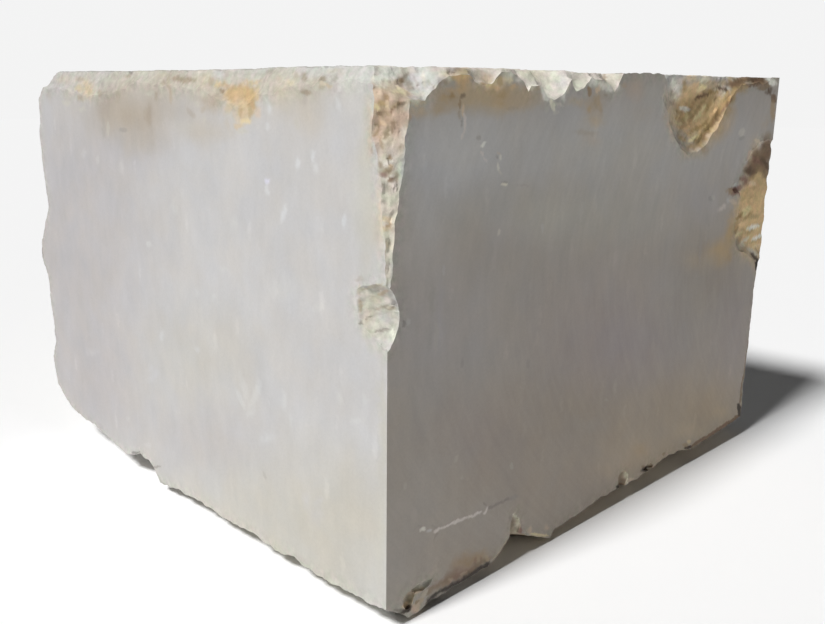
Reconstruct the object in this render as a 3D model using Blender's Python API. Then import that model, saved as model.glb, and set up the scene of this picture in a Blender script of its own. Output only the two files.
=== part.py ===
"""A quarried block of marble: four upright sides, three of them wire-sawn, with broken edges.

The block is one piece of stone. It stands on its flat underside, with the middle of that
underside's plane at the origin. The face at -Y is the front, the face at +X is the side, and
the two meet at the near corner. The side at -X is split rock and the top is a broken bed.
A mason's measures are used throughout: a place on the front or the side is its distance from
the near corner and its height above the ground.
"""
import math

import bmesh
import bpy
import numpy as np
from mathutils import Vector, noise

# Driving dimensions, in metres.
FRONT_LENGTH = 2.345
SIDE_LENGTH = 2.36
HEIGHT = 1.68

# How far a cutter reaches past the stone, and how thick it is outside.
CLEAR = 0.04
CUTTER_THICKNESS = 0.35

# A place where an edge isn't broken, the least chord that a cutter spans there, and how far the
# cutter is lifted off the edge for each metre that it falls short of that chord.
NO_BREAK = 0.0
LEAST_BREAK = 0.010
LIFT = 1.8

# Broken stone: steps and slants of its flakes, and the crumb between them, finer than a flake.
FLAKE_STEP = 0.7
FLAKE_TILT = 1.1
FLAKE_SHARE = 0.75
CRUMB_SHARE = 0.45
CRUMB_SIZE = 0.55

# The size of the flakes on the fine breaks and the most that they stand out. The relief rises
# quickly from the two borders of a break and never fills more than this share of its size.
FLAKE = 0.075
MOST_RELIEF = 0.014
RELIEF_RISE = 0.7
MOST_FILL = 0.3

# The split side's edge as the front shows it: height, and distance from the near corner.
SPLIT_EDGE = (
    (0.00, 2.305), (0.22, 2.300), (0.30, 2.308), (0.36, 2.320), (0.47, 2.268), (0.64, 2.298),
    (0.73, 2.282), (0.86, 2.362), (0.99, 2.288), (1.09, 2.224), (1.23, 2.244), (1.39, 2.251),
    (1.565, 2.222), (1.62, 2.145), (1.650, 2.115), (1.675, 2.090), (1.75, 2.020),
)

# The lowest line of each sawn face: distance from the near corner, and height.
FRONT_FOOT = (
    (-0.05, 0.080), (0.17, 0.068), (0.40, 0.055), (0.44, 0.069), (0.54, 0.054), (0.72, 0.064),
    (0.87, 0.052), (1.00, 0.065), (1.19, 0.058), (1.35, 0.038), (1.39, 0.058), (1.41, 0.104),
    (1.50, 0.117), (1.53, 0.112), (1.64, 0.073), (1.91, 0.121), (2.08, 0.131), (2.19, 0.154),
    (2.28, 0.217), (2.40, 0.300),
)
SIDE_FOOT = (
    (-0.05, 0.085), (0.00, 0.080), (0.05, 0.052), (0.10, 0.009), (0.13, 0.005), (0.18, 0.028),
    (0.27, 0.035), (0.48, 0.042), (0.55, 0.079), (0.60, 0.114), (0.70, 0.075), (0.82, 0.014),
    (0.85, 0.042), (1.04, 0.054), (1.13, 0.067), (1.33, 0.069), (1.41, 0.061), (1.47, 0.074),
    (1.67, 0.099), (1.87, 0.070), (2.01, 0.074), (2.18, 0.086), (2.40, 0.110),
)

# Where each sawn face stops below the broken top edge: distance, and depth below the top.
FRONT_CROWN = (
    (-0.05, 0.050), (0.15, 0.045), (0.28, 0.050), (0.42, 0.067), (0.56, 0.085), (0.62, 0.112),
    (0.69, 0.135), (0.75, 0.120), (0.82, 0.100), (0.89, 0.080), (1.04, 0.067), (1.21, 0.060),
    (1.37, 0.055), (1.52, 0.090), (1.67, 0.105), (1.87, 0.100), (2.00, 0.085), (2.11, 0.080),
    (2.40, 0.060),
)
SIDE_CROWN = (
    (-0.05, 0.100), (0.08, 0.098), (0.14, 0.091), (0.19, 0.048), (0.23, 0.024), (0.28, 0.023),
    (0.32, 0.022), (0.36, 0.048), (0.40, 0.054), (0.43, 0.030), (0.46, 0.016), (0.50, 0.014),
    (0.54, 0.030), (0.57, 0.046), (0.59, 0.070), (0.61, 0.050), (0.65, 0.046), (0.68, 0.086),
    (0.71, 0.096), (0.74, 0.092), (0.77, 0.072), (0.80, 0.040), (0.815, 0.020), (0.83, 0.064),
    (0.88, 0.060), (0.92, 0.020), (0.95, 0.033), (0.99, 0.028), (1.03, 0.042), (1.064, 0.074),
    (1.09, 0.030), (1.12, NO_BREAK), (1.37, NO_BREAK), (1.42, 0.030), (1.95, 0.030),
    (2.02, 0.036), (2.12, 0.025), (2.23, 0.030), (2.30, NO_BREAK), (2.40, NO_BREAK),
)

# The broken near corner: height, then how far the break runs over the front and the side.
NEAR_CORNER = (
    (1.05, NO_BREAK, NO_BREAK), (1.09, 0.010, 0.012), (1.19, 0.012, 0.019), (1.25, 0.020, 0.026),
    (1.32, 0.032, 0.040), (1.39, 0.036, 0.053), (1.455, 0.048, 0.058), (1.49, 0.064, 0.061),
    (1.54, 0.060, 0.070), (1.59, 0.056, 0.079), (1.75, 0.070, 0.085),
)

# The shell-shaped chip lower down the near corner, in the same way.
SHELL_CHIP = (
    (0.895, NO_BREAK, NO_BREAK), (0.915, 0.030, 0.012), (0.945, 0.090, 0.036),
    (0.985, 0.127, 0.047), (1.03, 0.132, 0.040), (1.06, 0.122, 0.026), (1.080, 0.080, 0.012),
    (1.095, NO_BREAK, NO_BREAK),
)

# The worn far corner, under the second hollow, in the same way: over the side and the back.
FAR_CORNER = (
    (0.00, 0.030, 0.036), (0.30, 0.030, 0.032), (0.60, 0.027, 0.034), (0.80, 0.028, 0.030),
    (0.86, 0.012, 0.020), (0.90, NO_BREAK, NO_BREAK),
)

# Outlines of the two broken hollows in the side: distance, and height. The first opens at the
# top and the second at the far corner, so both outlines run on past the stone there.
FLUTED_HOLLOW = (
    (1.42, 1.75), (1.413, 1.66), (1.393, 1.621), (1.385, 1.582), (1.41, 1.556), (1.43, 1.523),
    (1.46, 1.475), (1.50, 1.429), (1.555, 1.393), (1.61, 1.375), (1.667, 1.381), (1.706, 1.391),
    (1.764, 1.432), (1.832, 1.470), (1.865, 1.517), (1.90, 1.561), (1.928, 1.593), (1.957, 1.621),
    (2.00, 1.641), (2.04, 1.664), (2.07, 1.75),
)
FAR_HOLLOW = (
    (2.45, 1.43), (2.33, 1.424), (2.268, 1.417), (2.196, 1.389), (2.13, 1.34), (2.098, 1.316),
    (2.077, 1.283), (2.067, 1.246), (2.023, 1.236), (1.998, 1.22), (2.04, 1.196), (2.098, 1.187),
    (2.095, 1.162), (2.081, 1.097), (2.062, 1.012), (2.102, 0.954), (2.147, 0.926), (2.232, 0.898),
    (2.314, 0.85), (2.364, 0.815), (2.45, 0.79),
)

# How deep each hollow is, and how far inside its outline it comes near that depth.
FLUTED_DEPTH = 0.036
FLUTED_SLOPE = 0.050
FAR_DEPTH = 0.045
FAR_SLOPE = 0.028

# The flutes in the first hollow: their pitch, depth, rise towards the far corner and unevenness.
FLUTE_PITCH = 0.062
FLUTE_DEPTH = 0.005
FLUTE_SLANT = math.radians(38)
FLUTE_BEND = 0.3

# The relief of the hollows' floors, and how far inside the outline it is at its full height.
FLUTED_RELIEF = 0.006
FAR_RELIEF = 0.013
RELIEF_MARGIN = 0.03

# The far hollow grows shallow towards the near end: its room and the share of depth kept there.
FAR_ROOM = 0.22
FAR_SHALLOW = 0.02
FAR_QUIET = 0.08

# The broken bed: how far its middle lies below the edges, over what distance it sinks, the size of
# its flakes, their least and most height, and how near the edges they reach it.
BED_SAG = 0.030
BED_SLOPE = 0.45
BED_FLAKE = 0.30
BED_GRAIN = (0.002, 0.023)
BED_MARGIN = 0.12
BED_SKIN = 0.0015

# How far the bed falls towards the split side, and between which two places it does so.
BED_FALL = 0.010
BED_FALL_FROM = 0.05
BED_FALL_TO = 1.15

# The split side: how deep it lies on average behind the front edge, its swell and flakes, and how
# far back the measured front edge gives way to it.
SPLIT_DEPTH = 0.050
SPLIT_SWELL = 0.030
SPLIT_GRAIN = 0.034
SPLIT_FLAKE = 0.34
SPLIT_FADE = 0.40
SPLIT_FINE_GRAIN = 0.006
SPLIT_FINE_FLAKE = 0.12

# How far the measured breaks run over the face that isn't measured, from how far they run over
# the sawn face.
FRONT_FOOT_UNDER = (0.09, 2.6)
SIDE_FOOT_UNDER = (0.03, 2.2)
FRONT_CROWN_OVER = (0.010, 0.40)
SIDE_CROWN_OVER = (0.0, 0.9)
MOST_CROWN_OVER = 0.10
CROWN_WANDER = 0.012

# Small gouges on the side's foot: distance, height, then reach along, up and into the stone.
GOUGES = (
    (0.095, 0.075, 0.030, 0.034, 0.022),
    (0.150, 0.100, 0.052, 0.016, 0.016),
    (0.612, 0.130, 0.026, 0.055, 0.030),
    (1.300, 0.095, 0.034, 0.040, 0.026),
    (1.500, 0.092, 0.040, 0.015, 0.020),
)

# Sizes of the grids that the broken surfaces are made of.
FINE_STEP = 0.024
MIDDLE_STEP = 0.040
COARSE_STEP = 0.088

MARBLE_COLOUR = (0.56, 0.54, 0.50, 1.0)
MARBLE_ROUGHNESS = 0.75

NEAR = Vector((FRONT_LENGTH / 2, -SIDE_LENGTH / 2, 0.0))
LEFT = Vector((-1.0, 0.0, 0.0))
BACK = Vector((0.0, 1.0, 0.0))
UP = Vector((0.0, 0.0, 1.0))


def clear_scene():
    """Start from a file with no objects in it."""
    for thing in list(bpy.data.objects):
        bpy.data.objects.remove(thing, do_unlink=True)


def new_collection(name):
    """A collection linked to the scene."""
    collection = bpy.data.collections.new(name)
    bpy.context.scene.collection.children.link(collection)
    return collection


def read_line(line, at, column=1):
    """The value of a measured line at a place along it."""
    return float(np.interp(at, [point[0] for point in line], [point[column] for point in line]))


def clamp(value, low=0.0, high=1.0):
    """The value held between two limits."""
    return max(low, min(high, value))


def ease(value):
    """A step from 0 to 1 with soft ends."""
    held = clamp(value)
    return held * held * (3.0 - 2.0 * held)


def between(low, high, share):
    """The value that lies this share of the way from low to high."""
    return low + (high - low) * share


def wander(at, low, high, pitch, lane):
    """A smooth walk between two values, one lane for each use."""
    mood = 0.5 + 0.6 * noise.noise(Vector((at / pitch, lane, 0.37)))
    return between(low, high, clamp(mood))


def flakes(point, size):
    """The steps and slants that stone breaks into: one tilted plane for each flake."""
    place = point / size
    heart = noise.voronoi(place)[1][0]
    tilt = noise.cell_vector(heart * 7.3) - Vector((0.5, 0.5, 0.5))
    step = noise.cell(heart * 3.1) - 0.5
    return FLAKE_STEP * step + FLAKE_TILT * (place - heart).dot(tilt)


def rock(point, size):
    """Relief of a broken surface, from about -1 to 1, in flakes of this size."""
    crumb = noise.fractal(point / (CRUMB_SIZE * size), 0.9, 2.1, 3)
    return FLAKE_SHARE * flakes(point, size) + CRUMB_SHARE * crumb


def add_cutter(collection, name, columns, rows, place, outward):
    """A closed cutter: the sheet place(u, v) on its inner side, carried outward past the stone."""
    shape = bmesh.new()
    bmesh.ops.create_grid(shape, x_segments=columns, y_segments=rows, size=0.5)
    for corner in shape.verts:
        corner.co = place(corner.co.x + 0.5, corner.co.y + 0.5)
    grown = bmesh.ops.extrude_face_region(shape, geom=shape.faces[:])
    carried = [item for item in grown["geom"] if isinstance(item, bmesh.types.BMVert)]
    bmesh.ops.translate(shape, verts=carried, vec=outward * CUTTER_THICKNESS)
    bmesh.ops.recalc_face_normals(shape, faces=shape.faces[:])
    return keep_cutter(collection, name, shape)


def keep_cutter(collection, name, shape):
    """Turn a finished bmesh into a cutter object that is never part of the stone."""
    mesh = bpy.data.meshes.new(name)
    bmesh.ops.triangulate(shape, faces=shape.faces[:])
    shape.to_mesh(mesh)
    shape.free()
    cutter = bpy.data.objects.new(name, mesh)
    cutter.hide_render = True
    cutter.display_type = "WIRE"
    collection.objects.link(cutter)
    return cutter


def add_gouge(collection, name, centre, reaches):
    """A lumpy egg-shaped cutter that takes a small bite out of a face."""
    shape = bmesh.new()
    bmesh.ops.create_icosphere(shape, subdivisions=2, radius=1.0)
    for corner in shape.verts:
        swell = 1.0 + 0.28 * noise.noise(corner.co * 1.9 + centre * 9.0)
        corner.co = centre + Vector([part * reach * swell for part, reach in zip(corner.co, reaches)])
    return keep_cutter(collection, name, shape)


def add_edge_break(collection, name, edge, over_a, over_b, reach, step, lanes, hollow, roughness):
    """A cutter that breaks an edge of the block.

    edge is the edge's start, direction and length. over_a and over_b point from the edge over
    its two faces. reach(at) says how far the break runs over each of them.
    """
    start, along, length = edge
    inward = (over_a + over_b).normalized()

    def place(u, v):
        at = u * (length + 2 * CLEAR) - CLEAR
        over = (v * (lanes + 2) - 1) / lanes
        reach_a, reach_b = reach(at)
        lift = LIFT * max(LEAST_BREAK - max(reach_a, reach_b), 0.0)
        chord_a = over_a * max(reach_a, LEAST_BREAK) * (1 - over)
        chord_b = over_b * max(reach_b, LEAST_BREAK) * over
        spot = start + along * at + chord_a + chord_b
        size = min(reach_a, reach_b)
        relief = min(roughness * size, MOST_RELIEF) * rock(spot, FLAKE)
        held = math.sin(math.pi * clamp(over)) ** RELIEF_RISE
        depth = held * (hollow * size + relief)
        return spot + inward * (max(depth, -MOST_FILL * size) - lift)

    columns = round(length / step)
    return add_cutter(collection, name, columns, lanes + 2, place, -inward)


def inside_by(outline, across, up):
    """How far a place lies inside a closed outline; negative outside it."""
    points = np.array(outline)
    ends = np.roll(points, -1, axis=0)
    spans = ends - points
    place = np.array((across, up))
    share = ((place - points) * spans).sum(axis=1) / (spans * spans).sum(axis=1)
    nearest = points + spans * np.clip(share, 0.0, 1.0)[:, None]
    distance = np.sqrt(((place - nearest) ** 2).sum(axis=1)).min()
    crossing = (points[:, 1] > up) != (ends[:, 1] > up)
    slope = spans[:, 0] / np.where(crossing, spans[:, 1], 1.0)
    passed = crossing & (across < points[:, 0] + (up - points[:, 1]) * slope)
    return float(distance if passed.sum() % 2 else -distance)


def add_side_hollow(collection, name, outline, depth, step):
    """A cutter for a hollow in the side face, as deep as depth(inside, distance, height)."""
    low = np.min(outline, axis=0) - step
    high = np.max(outline, axis=0) + step

    def place(u, v):
        distance = low[0] + u * (high[0] - low[0])
        height = low[1] + v * (high[1] - low[1])
        inside = inside_by(outline, distance, height)
        sunk = depth(inside, distance, height) if inside > 0.0 else 1.5 * inside
        return NEAR + BACK * distance + UP * height + LEFT * sunk

    columns = round((high[0] - low[0]) / step)
    rows = round((high[1] - low[1]) / step)
    return add_cutter(collection, name, columns, rows, place, -LEFT)


def add_side_hollows(collection):
    """The fluted hollow under the side's top edge, and the one that runs off the far corner."""
    def fluted(inside, distance, height):
        spot = Vector((2.0, distance, height))
        across = height * math.cos(FLUTE_SLANT) - distance * math.sin(FLUTE_SLANT)
        bend = FLUTE_BEND * noise.noise(spot * 7.0)
        flute = math.cos(2 * math.pi * (across / FLUTE_PITCH + bend))
        bowl = FLUTED_DEPTH * (1 - math.exp(-inside / FLUTED_SLOPE))
        edge = clamp(inside / RELIEF_MARGIN)
        floor = FLUTE_DEPTH * flute + FLUTED_RELIEF * rock(spot, FLAKE)
        return max(bowl + edge * floor, 0.4 * inside)

    def far(inside, distance, height):
        spot = Vector((5.0, distance, height))
        room = clamp((SIDE_LENGTH - distance) / FAR_ROOM)
        bowl = FAR_DEPTH * (1 - math.exp(-inside / FAR_SLOPE)) * between(FAR_SHALLOW, 1.0, room)
        ledge = FAR_RELIEF * between(FAR_QUIET, 1.0, room) * rock(spot, FLAKE)
        return max(bowl + clamp(inside / RELIEF_MARGIN) * ledge, 0.003)

    add_side_hollow(collection, "fluted_hollow_cutter", FLUTED_HOLLOW, fluted, FINE_STEP)
    add_side_hollow(collection, "far_hollow_cutter", FAR_HOLLOW, far, FINE_STEP * 1.1)


def add_bed(collection):
    """The broken bed that tops the block, lowest in the middle and thin at the edges."""
    def place(u, v):
        x = (u - 0.5) * (FRONT_LENGTH + 2 * CLEAR)
        y = (v - 0.5) * (SIDE_LENGTH + 2 * CLEAR)
        rim = min(FRONT_LENGTH / 2 - abs(x), SIDE_LENGTH / 2 - abs(y))
        spot = Vector((x, y, 4.0))
        sag = BED_SAG * ease(rim / BED_SLOPE) * (1.0 + 0.5 * noise.noise(spot * 1.3))
        grain = between(*BED_GRAIN, ease(rim / BED_MARGIN)) * rock(spot, BED_FLAKE)
        fall = BED_FALL * ease((NEAR.x - x - BED_FALL_FROM) / (BED_FALL_TO - BED_FALL_FROM))
        return Vector((x, y, HEIGHT - max(sag + grain, -0.002) - BED_SKIN - fall))

    across = round(FRONT_LENGTH / COARSE_STEP)
    deep = round(SIDE_LENGTH / COARSE_STEP)
    return add_cutter(collection, "bed_cutter", across, deep, place, UP)


def add_split_side(collection):
    """The split side at -X: rough rock whose front edge follows the measured line."""
    def place(u, v):
        crowd = u * u * (1.6 - 0.6 * u)
        back = crowd * (SIDE_LENGTH + 2 * CLEAR) - CLEAR
        height = v * (HEIGHT + 2 * CLEAR) - CLEAR
        spot = Vector((7.0, back, height))
        edge = FRONT_LENGTH - read_line(SPLIT_EDGE, height)
        swell = SPLIT_SWELL * noise.noise(spot * 1.1)
        inner = max(SPLIT_DEPTH + swell + SPLIT_GRAIN * rock(spot, SPLIT_FLAKE), 0.004)
        depth = between(edge, inner, ease(back / SPLIT_FADE))
        depth += SPLIT_FINE_GRAIN * ease(back / 0.05) * rock(spot, SPLIT_FINE_FLAKE)
        return NEAR + LEFT * (FRONT_LENGTH - depth) + BACK * back + UP * height

    deep = round(SIDE_LENGTH / COARSE_STEP)
    tall = round(HEIGHT / (COARSE_STEP * 0.85))
    return add_cutter(collection, "split_cutter", deep, tall, place, LEFT)


def add_front_and_side_breaks(collection):
    """The measured breaks along the edges of the two sawn faces that meet at the near corner."""
    top = NEAR + UP * HEIGHT

    def front_foot(at):
        rise = read_line(FRONT_FOOT, at)
        least, share = FRONT_FOOT_UNDER
        return rise, least + share * rise * ease(at / 0.6)

    def side_foot(at):
        rise = read_line(SIDE_FOOT, at)
        least, share = SIDE_FOOT_UNDER
        return rise, least + share * rise

    def front_crown(at):
        drop = read_line(FRONT_CROWN, at) + wander(at, -CROWN_WANDER, CROWN_WANDER, 0.045, 8.0)
        least, share = FRONT_CROWN_OVER
        return drop, least + share * drop

    def side_crown(at):
        drop = read_line(SIDE_CROWN, at)
        least, share = SIDE_CROWN_OVER
        return drop, min(least + share * drop, MOST_CROWN_OVER)

    def add(name, edge, over, reach, step, lanes, hollow, roughness):
        over_a, over_b = over
        add_edge_break(collection, name, edge, over_a, over_b, reach, step, lanes, hollow, roughness)

    def add_corner(name, foot, over, line, step, lanes, hollow, roughness):
        low = line[0][0]
        edge = (foot + UP * low, UP, line[-1][0] - low)

        def reach(at):
            return read_line(line, at + low, 1), read_line(line, at + low, 2)

        add(name, edge, over, reach, step, lanes, hollow, roughness)

    add("front_foot_cutter", (NEAR, LEFT, FRONT_LENGTH), (UP, BACK), front_foot,
        MIDDLE_STEP, 3, 0.05, 0.10)
    add("side_foot_cutter", (NEAR, BACK, SIDE_LENGTH), (UP, LEFT), side_foot,
        MIDDLE_STEP * 0.8, 3, 0.05, 0.10)
    add("front_crown_cutter", (top, LEFT, FRONT_LENGTH), (-UP, BACK), front_crown,
        FINE_STEP * 1.2, 4, 0.10, 0.35)
    add("side_crown_cutter", (top, BACK, SIDE_LENGTH), (-UP, LEFT), side_crown,
        FINE_STEP * 0.9, 4, 0.16, 0.35)
    near = (NEAR, (LEFT, BACK))
    far = (NEAR + BACK * SIDE_LENGTH, (-BACK, LEFT))
    add_corner("near_corner_cutter", *near, NEAR_CORNER, FINE_STEP, 5, 0.05, 0.35)
    add_corner("shell_chip_cutter", *near, SHELL_CHIP, FINE_STEP / 2, 9, 0.16, 0.12)
    add_corner("far_corner_cutter", *far, FAR_CORNER, MIDDLE_STEP, 3, -0.05, 0.10)


def add_hidden_breaks(collection):
    """Uneven wear along the edges of the split side and of the back."""
    left = NEAR + LEFT * FRONT_LENGTH
    back = NEAR + BACK * SIDE_LENGTH
    top = UP * HEIGHT
    edges = (
        ("split_foot_cutter", (left, BACK, SIDE_LENGTH), UP, -LEFT, 0.05, 0.16),
        ("split_crown_cutter", (left + top, BACK, SIDE_LENGTH), -UP, -LEFT, 0.05, 0.15),
        ("back_foot_cutter", (back, LEFT, FRONT_LENGTH), UP, -BACK, 0.015, 0.08),
        ("back_crown_cutter", (back + top, LEFT, FRONT_LENGTH), -UP, -BACK, -0.01, 0.09),
        ("rear_corner_cutter", (back + LEFT * FRONT_LENGTH, UP, HEIGHT), -LEFT, -BACK, 0.06, 0.15),
    )
    for lane, (name, edge, over_a, over_b, low, high) in enumerate(edges):
        def reach(at, low=low, high=high, lane=lane):
            size = wander(at, low, high, 0.28, 3.1 * lane) * (0.12 + 0.88 * ease(at / 0.5))
            return max(size, NO_BREAK), max(0.9 * size, NO_BREAK)

        add_edge_break(collection, name, edge, over_a, over_b, reach, COARSE_STEP * 0.75, 3,
                       0.10, 0.45)


def add_gouges(collection):
    """The small gouges along the side's foot."""
    for number, (distance, height, along, tall, deep) in enumerate(GOUGES, start=1):
        centre = NEAR + BACK * distance + UP * height
        add_gouge(collection, f"gouge_cutter_{number}", centre, (deep, along, tall))


def marble_material():
    """Sawn marble, pale and matt."""
    material = bpy.data.materials.new("sawn_marble")
    material.use_nodes = True
    shader = material.node_tree.nodes["Principled BSDF"]
    shader.inputs["Base Color"].default_value = MARBLE_COLOUR
    shader.inputs["Roughness"].default_value = MARBLE_ROUGHNESS
    shader.inputs["Metallic"].default_value = 0.0
    return material


def add_block(collection, cutters):
    """The block itself: a plain box that every cutter takes its share from."""
    shape = bmesh.new()
    bmesh.ops.create_cube(shape, size=1.0)
    bmesh.ops.scale(shape, vec=(FRONT_LENGTH, SIDE_LENGTH, HEIGHT), verts=shape.verts[:])
    bmesh.ops.translate(shape, vec=UP * HEIGHT / 2, verts=shape.verts[:])
    mesh = bpy.data.meshes.new("marble_block")
    shape.to_mesh(mesh)
    shape.free()
    mesh.materials.append(marble_material())
    block = bpy.data.objects.new("marble_block", mesh)
    collection.objects.link(block)
    for cutter in cutters:
        cut = block.modifiers.new(cutter.name.replace("cutter", "cut"), "BOOLEAN")
        cut.operation = "DIFFERENCE"
        cut.solver = "EXACT"
        cut.object = cutter
    return block


def main():
    """Build the block."""
    clear_scene()
    stone = new_collection("marble_block")
    cutters = new_collection("cutters")
    add_bed(cutters)
    add_split_side(cutters)
    add_hidden_breaks(cutters)
    add_front_and_side_breaks(cutters)
    add_side_hollows(cutters)
    add_gouges(cutters)
    add_block(stone, list(cutters.objects))


main()
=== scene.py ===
"""The look of the quarried marble block: its broken stone, its sawn faces, their stains and the light.

The front and the side are the two sawn faces that meet at the near corner, in view of the camera.
A stain or bruise on them is placed by its column and row in the camera's frame.
"""
import functools
import math

import bmesh
import bpy
import numpy as np
from mathutils import Matrix, Vector, kdtree, noise


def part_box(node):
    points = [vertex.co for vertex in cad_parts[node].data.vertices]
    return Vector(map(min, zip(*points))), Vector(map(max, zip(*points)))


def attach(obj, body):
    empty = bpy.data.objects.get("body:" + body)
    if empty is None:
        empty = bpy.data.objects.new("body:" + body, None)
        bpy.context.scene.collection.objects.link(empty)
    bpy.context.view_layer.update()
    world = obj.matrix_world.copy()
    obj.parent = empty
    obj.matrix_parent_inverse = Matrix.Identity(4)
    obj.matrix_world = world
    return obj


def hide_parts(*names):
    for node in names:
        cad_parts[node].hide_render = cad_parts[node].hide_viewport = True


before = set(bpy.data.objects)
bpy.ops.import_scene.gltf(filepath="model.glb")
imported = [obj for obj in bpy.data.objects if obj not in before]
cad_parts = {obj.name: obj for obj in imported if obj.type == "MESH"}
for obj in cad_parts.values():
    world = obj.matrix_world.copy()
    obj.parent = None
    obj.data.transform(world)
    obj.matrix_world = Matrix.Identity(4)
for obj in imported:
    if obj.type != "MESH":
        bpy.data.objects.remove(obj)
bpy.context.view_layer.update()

LOW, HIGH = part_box("marble_block")
NEAR = Vector((HIGH.x, LOW.y, 0.0))
MM = 0.001

# The sawn planes and the underside: which way each faces and where it lies, and how true they are.
SAWN_PLANES = ((0, HIGH.x), (1, LOW.y), (1, HIGH.y), (2, LOW.z))
TRUE = 0.2 * MM

# How deep the broken edges that belong to the front and the side reach into the block.
EDGE_REACH = 0.16

# The longest edge of the mesh: on broken stone by the near corner, elsewhere in view and out of
# view, on plain sawn stone, and beside a border, where it grows with the distance from it.
CORNER_EDGE = 6 * MM
SHOWN_EDGE = 9.5 * MM
HIDDEN_EDGE = 30 * MM
PLAIN_EDGE = 75 * MM
BORDER_EDGE = 9.5 * MM
BORDER_GROWTH = 0.5
FINEST_EDGE = 4.8 * MM
SHORTEST_EDGE = 4 * MM

# How often short edges are welded, long ones split and the broken stone smoothed, and how far past
# its longest an edge is left whole.
WELD_PASSES = 5
SPLIT_PASSES = 18
SMOOTH_PASSES = 3
SPLIT_SLACK = 1.5

# Corners closer than this are one. Between faces that bend less than this, edges may be turned.
SAME_PLACE = 0.02 * MM
BROKEN_BEND = math.radians(20)
SAWN_BEND = math.radians(1)

# Relief on broken stone: how much a flake is a step and a slant, what makes the flakes' draws and
# their layers differ, and for each kind of stone the size of its flakes and how deep they are cut.
FLAKE_STEP = 0.7
FLAKE_TILT = 1.1
TILT_SEED = 7.3
STEP_SEED = 3.1
LAYER_SHIFT = 50
CROWN_FLAKES = ((48 * MM, 5.0 * MM), (21 * MM, 3.0 * MM), (10 * MM, 1.2 * MM))
CORNER_FLAKES = ((40 * MM, 7.0 * MM), (18 * MM, 4.0 * MM), (10 * MM, 1.8 * MM))
BROW_FLAKES = ((40 * MM, 3.5 * MM), (18 * MM, 2.0 * MM))
GROOVE_FLAKES = ((34 * MM, 5.5 * MM), (15 * MM, 3.5 * MM))
HIDDEN_FLAKES = ((150 * MM, 13.0 * MM), (60 * MM, 6.0 * MM))

# The hollows' grooves: their slant over the side and how much longer they are than wide.
GROOVE_SLANT = math.radians(38)
FAR_SLANT = math.radians(24)
GROOVE_STRETCH = 2.4

# The flutes in the hollow under the side's top edge: their pitch, their depth, and by what share of
# the pitch they bend and over what length.
FLUTE_PITCH = 24 * MM
FLUTE_DEPTH = 3 * MM
FLUTE_BEND = 0.9
FLUTE_BEND_SIZE = 1 / 9.0

# Where the fluted hollow begins and ends along the side, where the far one begins, the lowest
# height of each and how deep into the block both reach.
FLUTED_NEAR = 1.36
FLUTED_FAR = 2.08
FLUTED_FOOT = 1.36
FAR_HOLLOW_NEAR = 1.98
FAR_HOLLOW_FOOT = 0.78
HOLLOW_REACH = 0.12

# The far hollow's relief fades towards the back: over what length, and the least that stays.
FAR_QUIET = 120 * MM
FAR_LEAST = 0.15

# Above this height the broken stone of the near corner is only lightly flaked.
BROW = 1.58

# How far the border of broken stone strays, over what length it does so, and how far beside it.
BORDER_STRAY = ((48 * MM, 9 * MM), (17 * MM, 4 * MM))
BORDER_REACH = 30 * MM
RELIEF_RISE = 14 * MM

# What the strays of borders and marks are drawn from. Without it, each run would draw its own.
STRAY_SEED = 7

# How far beside the border the sawn stone is worn.
WORN_REACH = 60 * MM

# The camera stands before the near corner: its place, its turn, its tilt and its lens, how far it
# sees, and its frame.
CAMERA_PLACE = Vector((2.9148, -2.81105, 1.61873))
CAMERA_TURN = math.radians(45.2249)
CAMERA_DROP = math.radians(14.1943)
CAMERA_ROLL = math.radians(0.6771)
CAMERA_LENS = 38.70
CAMERA_SENSOR = 36.0
CAMERA_SIGHT = 200.0
FRAME_WIDTH = 825
FRAME_HEIGHT = 624

# What one column of the frame covers on the block.
COLUMN_SIZE = 4 * MM

# How far the pieces of a stroke reach over its bends, as a share of their length and of their width.
STROKE_REACH = 1.25
STROKE_CAP = 0.3


def linear(colour):
    """An sRGB hex colour as linear red, green, blue and a full alpha."""
    parts = [int(colour[at:at + 2], 16) / 255 for at in (1, 3, 5)]
    spread = [part / 12.92 if part <= 0.04045 else ((part + 0.055) / 1.055) ** 2.4 for part in parts]
    return (*spread, 1.0)


def ease(value):
    """A smooth step from 0 to 1."""
    value = np.clip(value, 0.0, 1.0)
    return value * value * (3.0 - 2.0 * value)


def flakes(point, size):
    """The steps and slants that stone breaks into: one tilted plane for each flake."""
    place = point / size
    heart = noise.voronoi(place)[1][0]
    tilt = noise.cell_vector(heart * TILT_SEED) - Vector((0.5, 0.5, 0.5))
    step = noise.cell(heart * STEP_SEED) - 0.5
    return FLAKE_STEP * step + FLAKE_TILT * (place - heart).dot(tilt)


def camera_stand():
    """The camera's place, turn and tilt as one matrix."""
    turn = Matrix.Rotation(CAMERA_TURN, 4, "Z")
    tilt = Matrix.Rotation(math.radians(90) - CAMERA_DROP, 4, "X")
    roll = Matrix.Rotation(CAMERA_ROLL, 4, "Z")
    return Matrix.Translation(CAMERA_PLACE) @ turn @ tilt @ roll


def in_frame(points):
    """The columns and rows at which places on the block lie in the camera's frame."""
    from_camera = np.array(camera_stand().inverted())
    spot = np.column_stack((points, np.ones(len(points)))) @ from_camera.T
    enlarged = FRAME_WIDTH * CAMERA_LENS / CAMERA_SENSOR
    columns = FRAME_WIDTH / 2 - enlarged * spot[:, 0] / spot[:, 2]
    rows = FRAME_HEIGHT / 2 + enlarged * spot[:, 1] / spot[:, 2]
    return columns, rows


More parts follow.
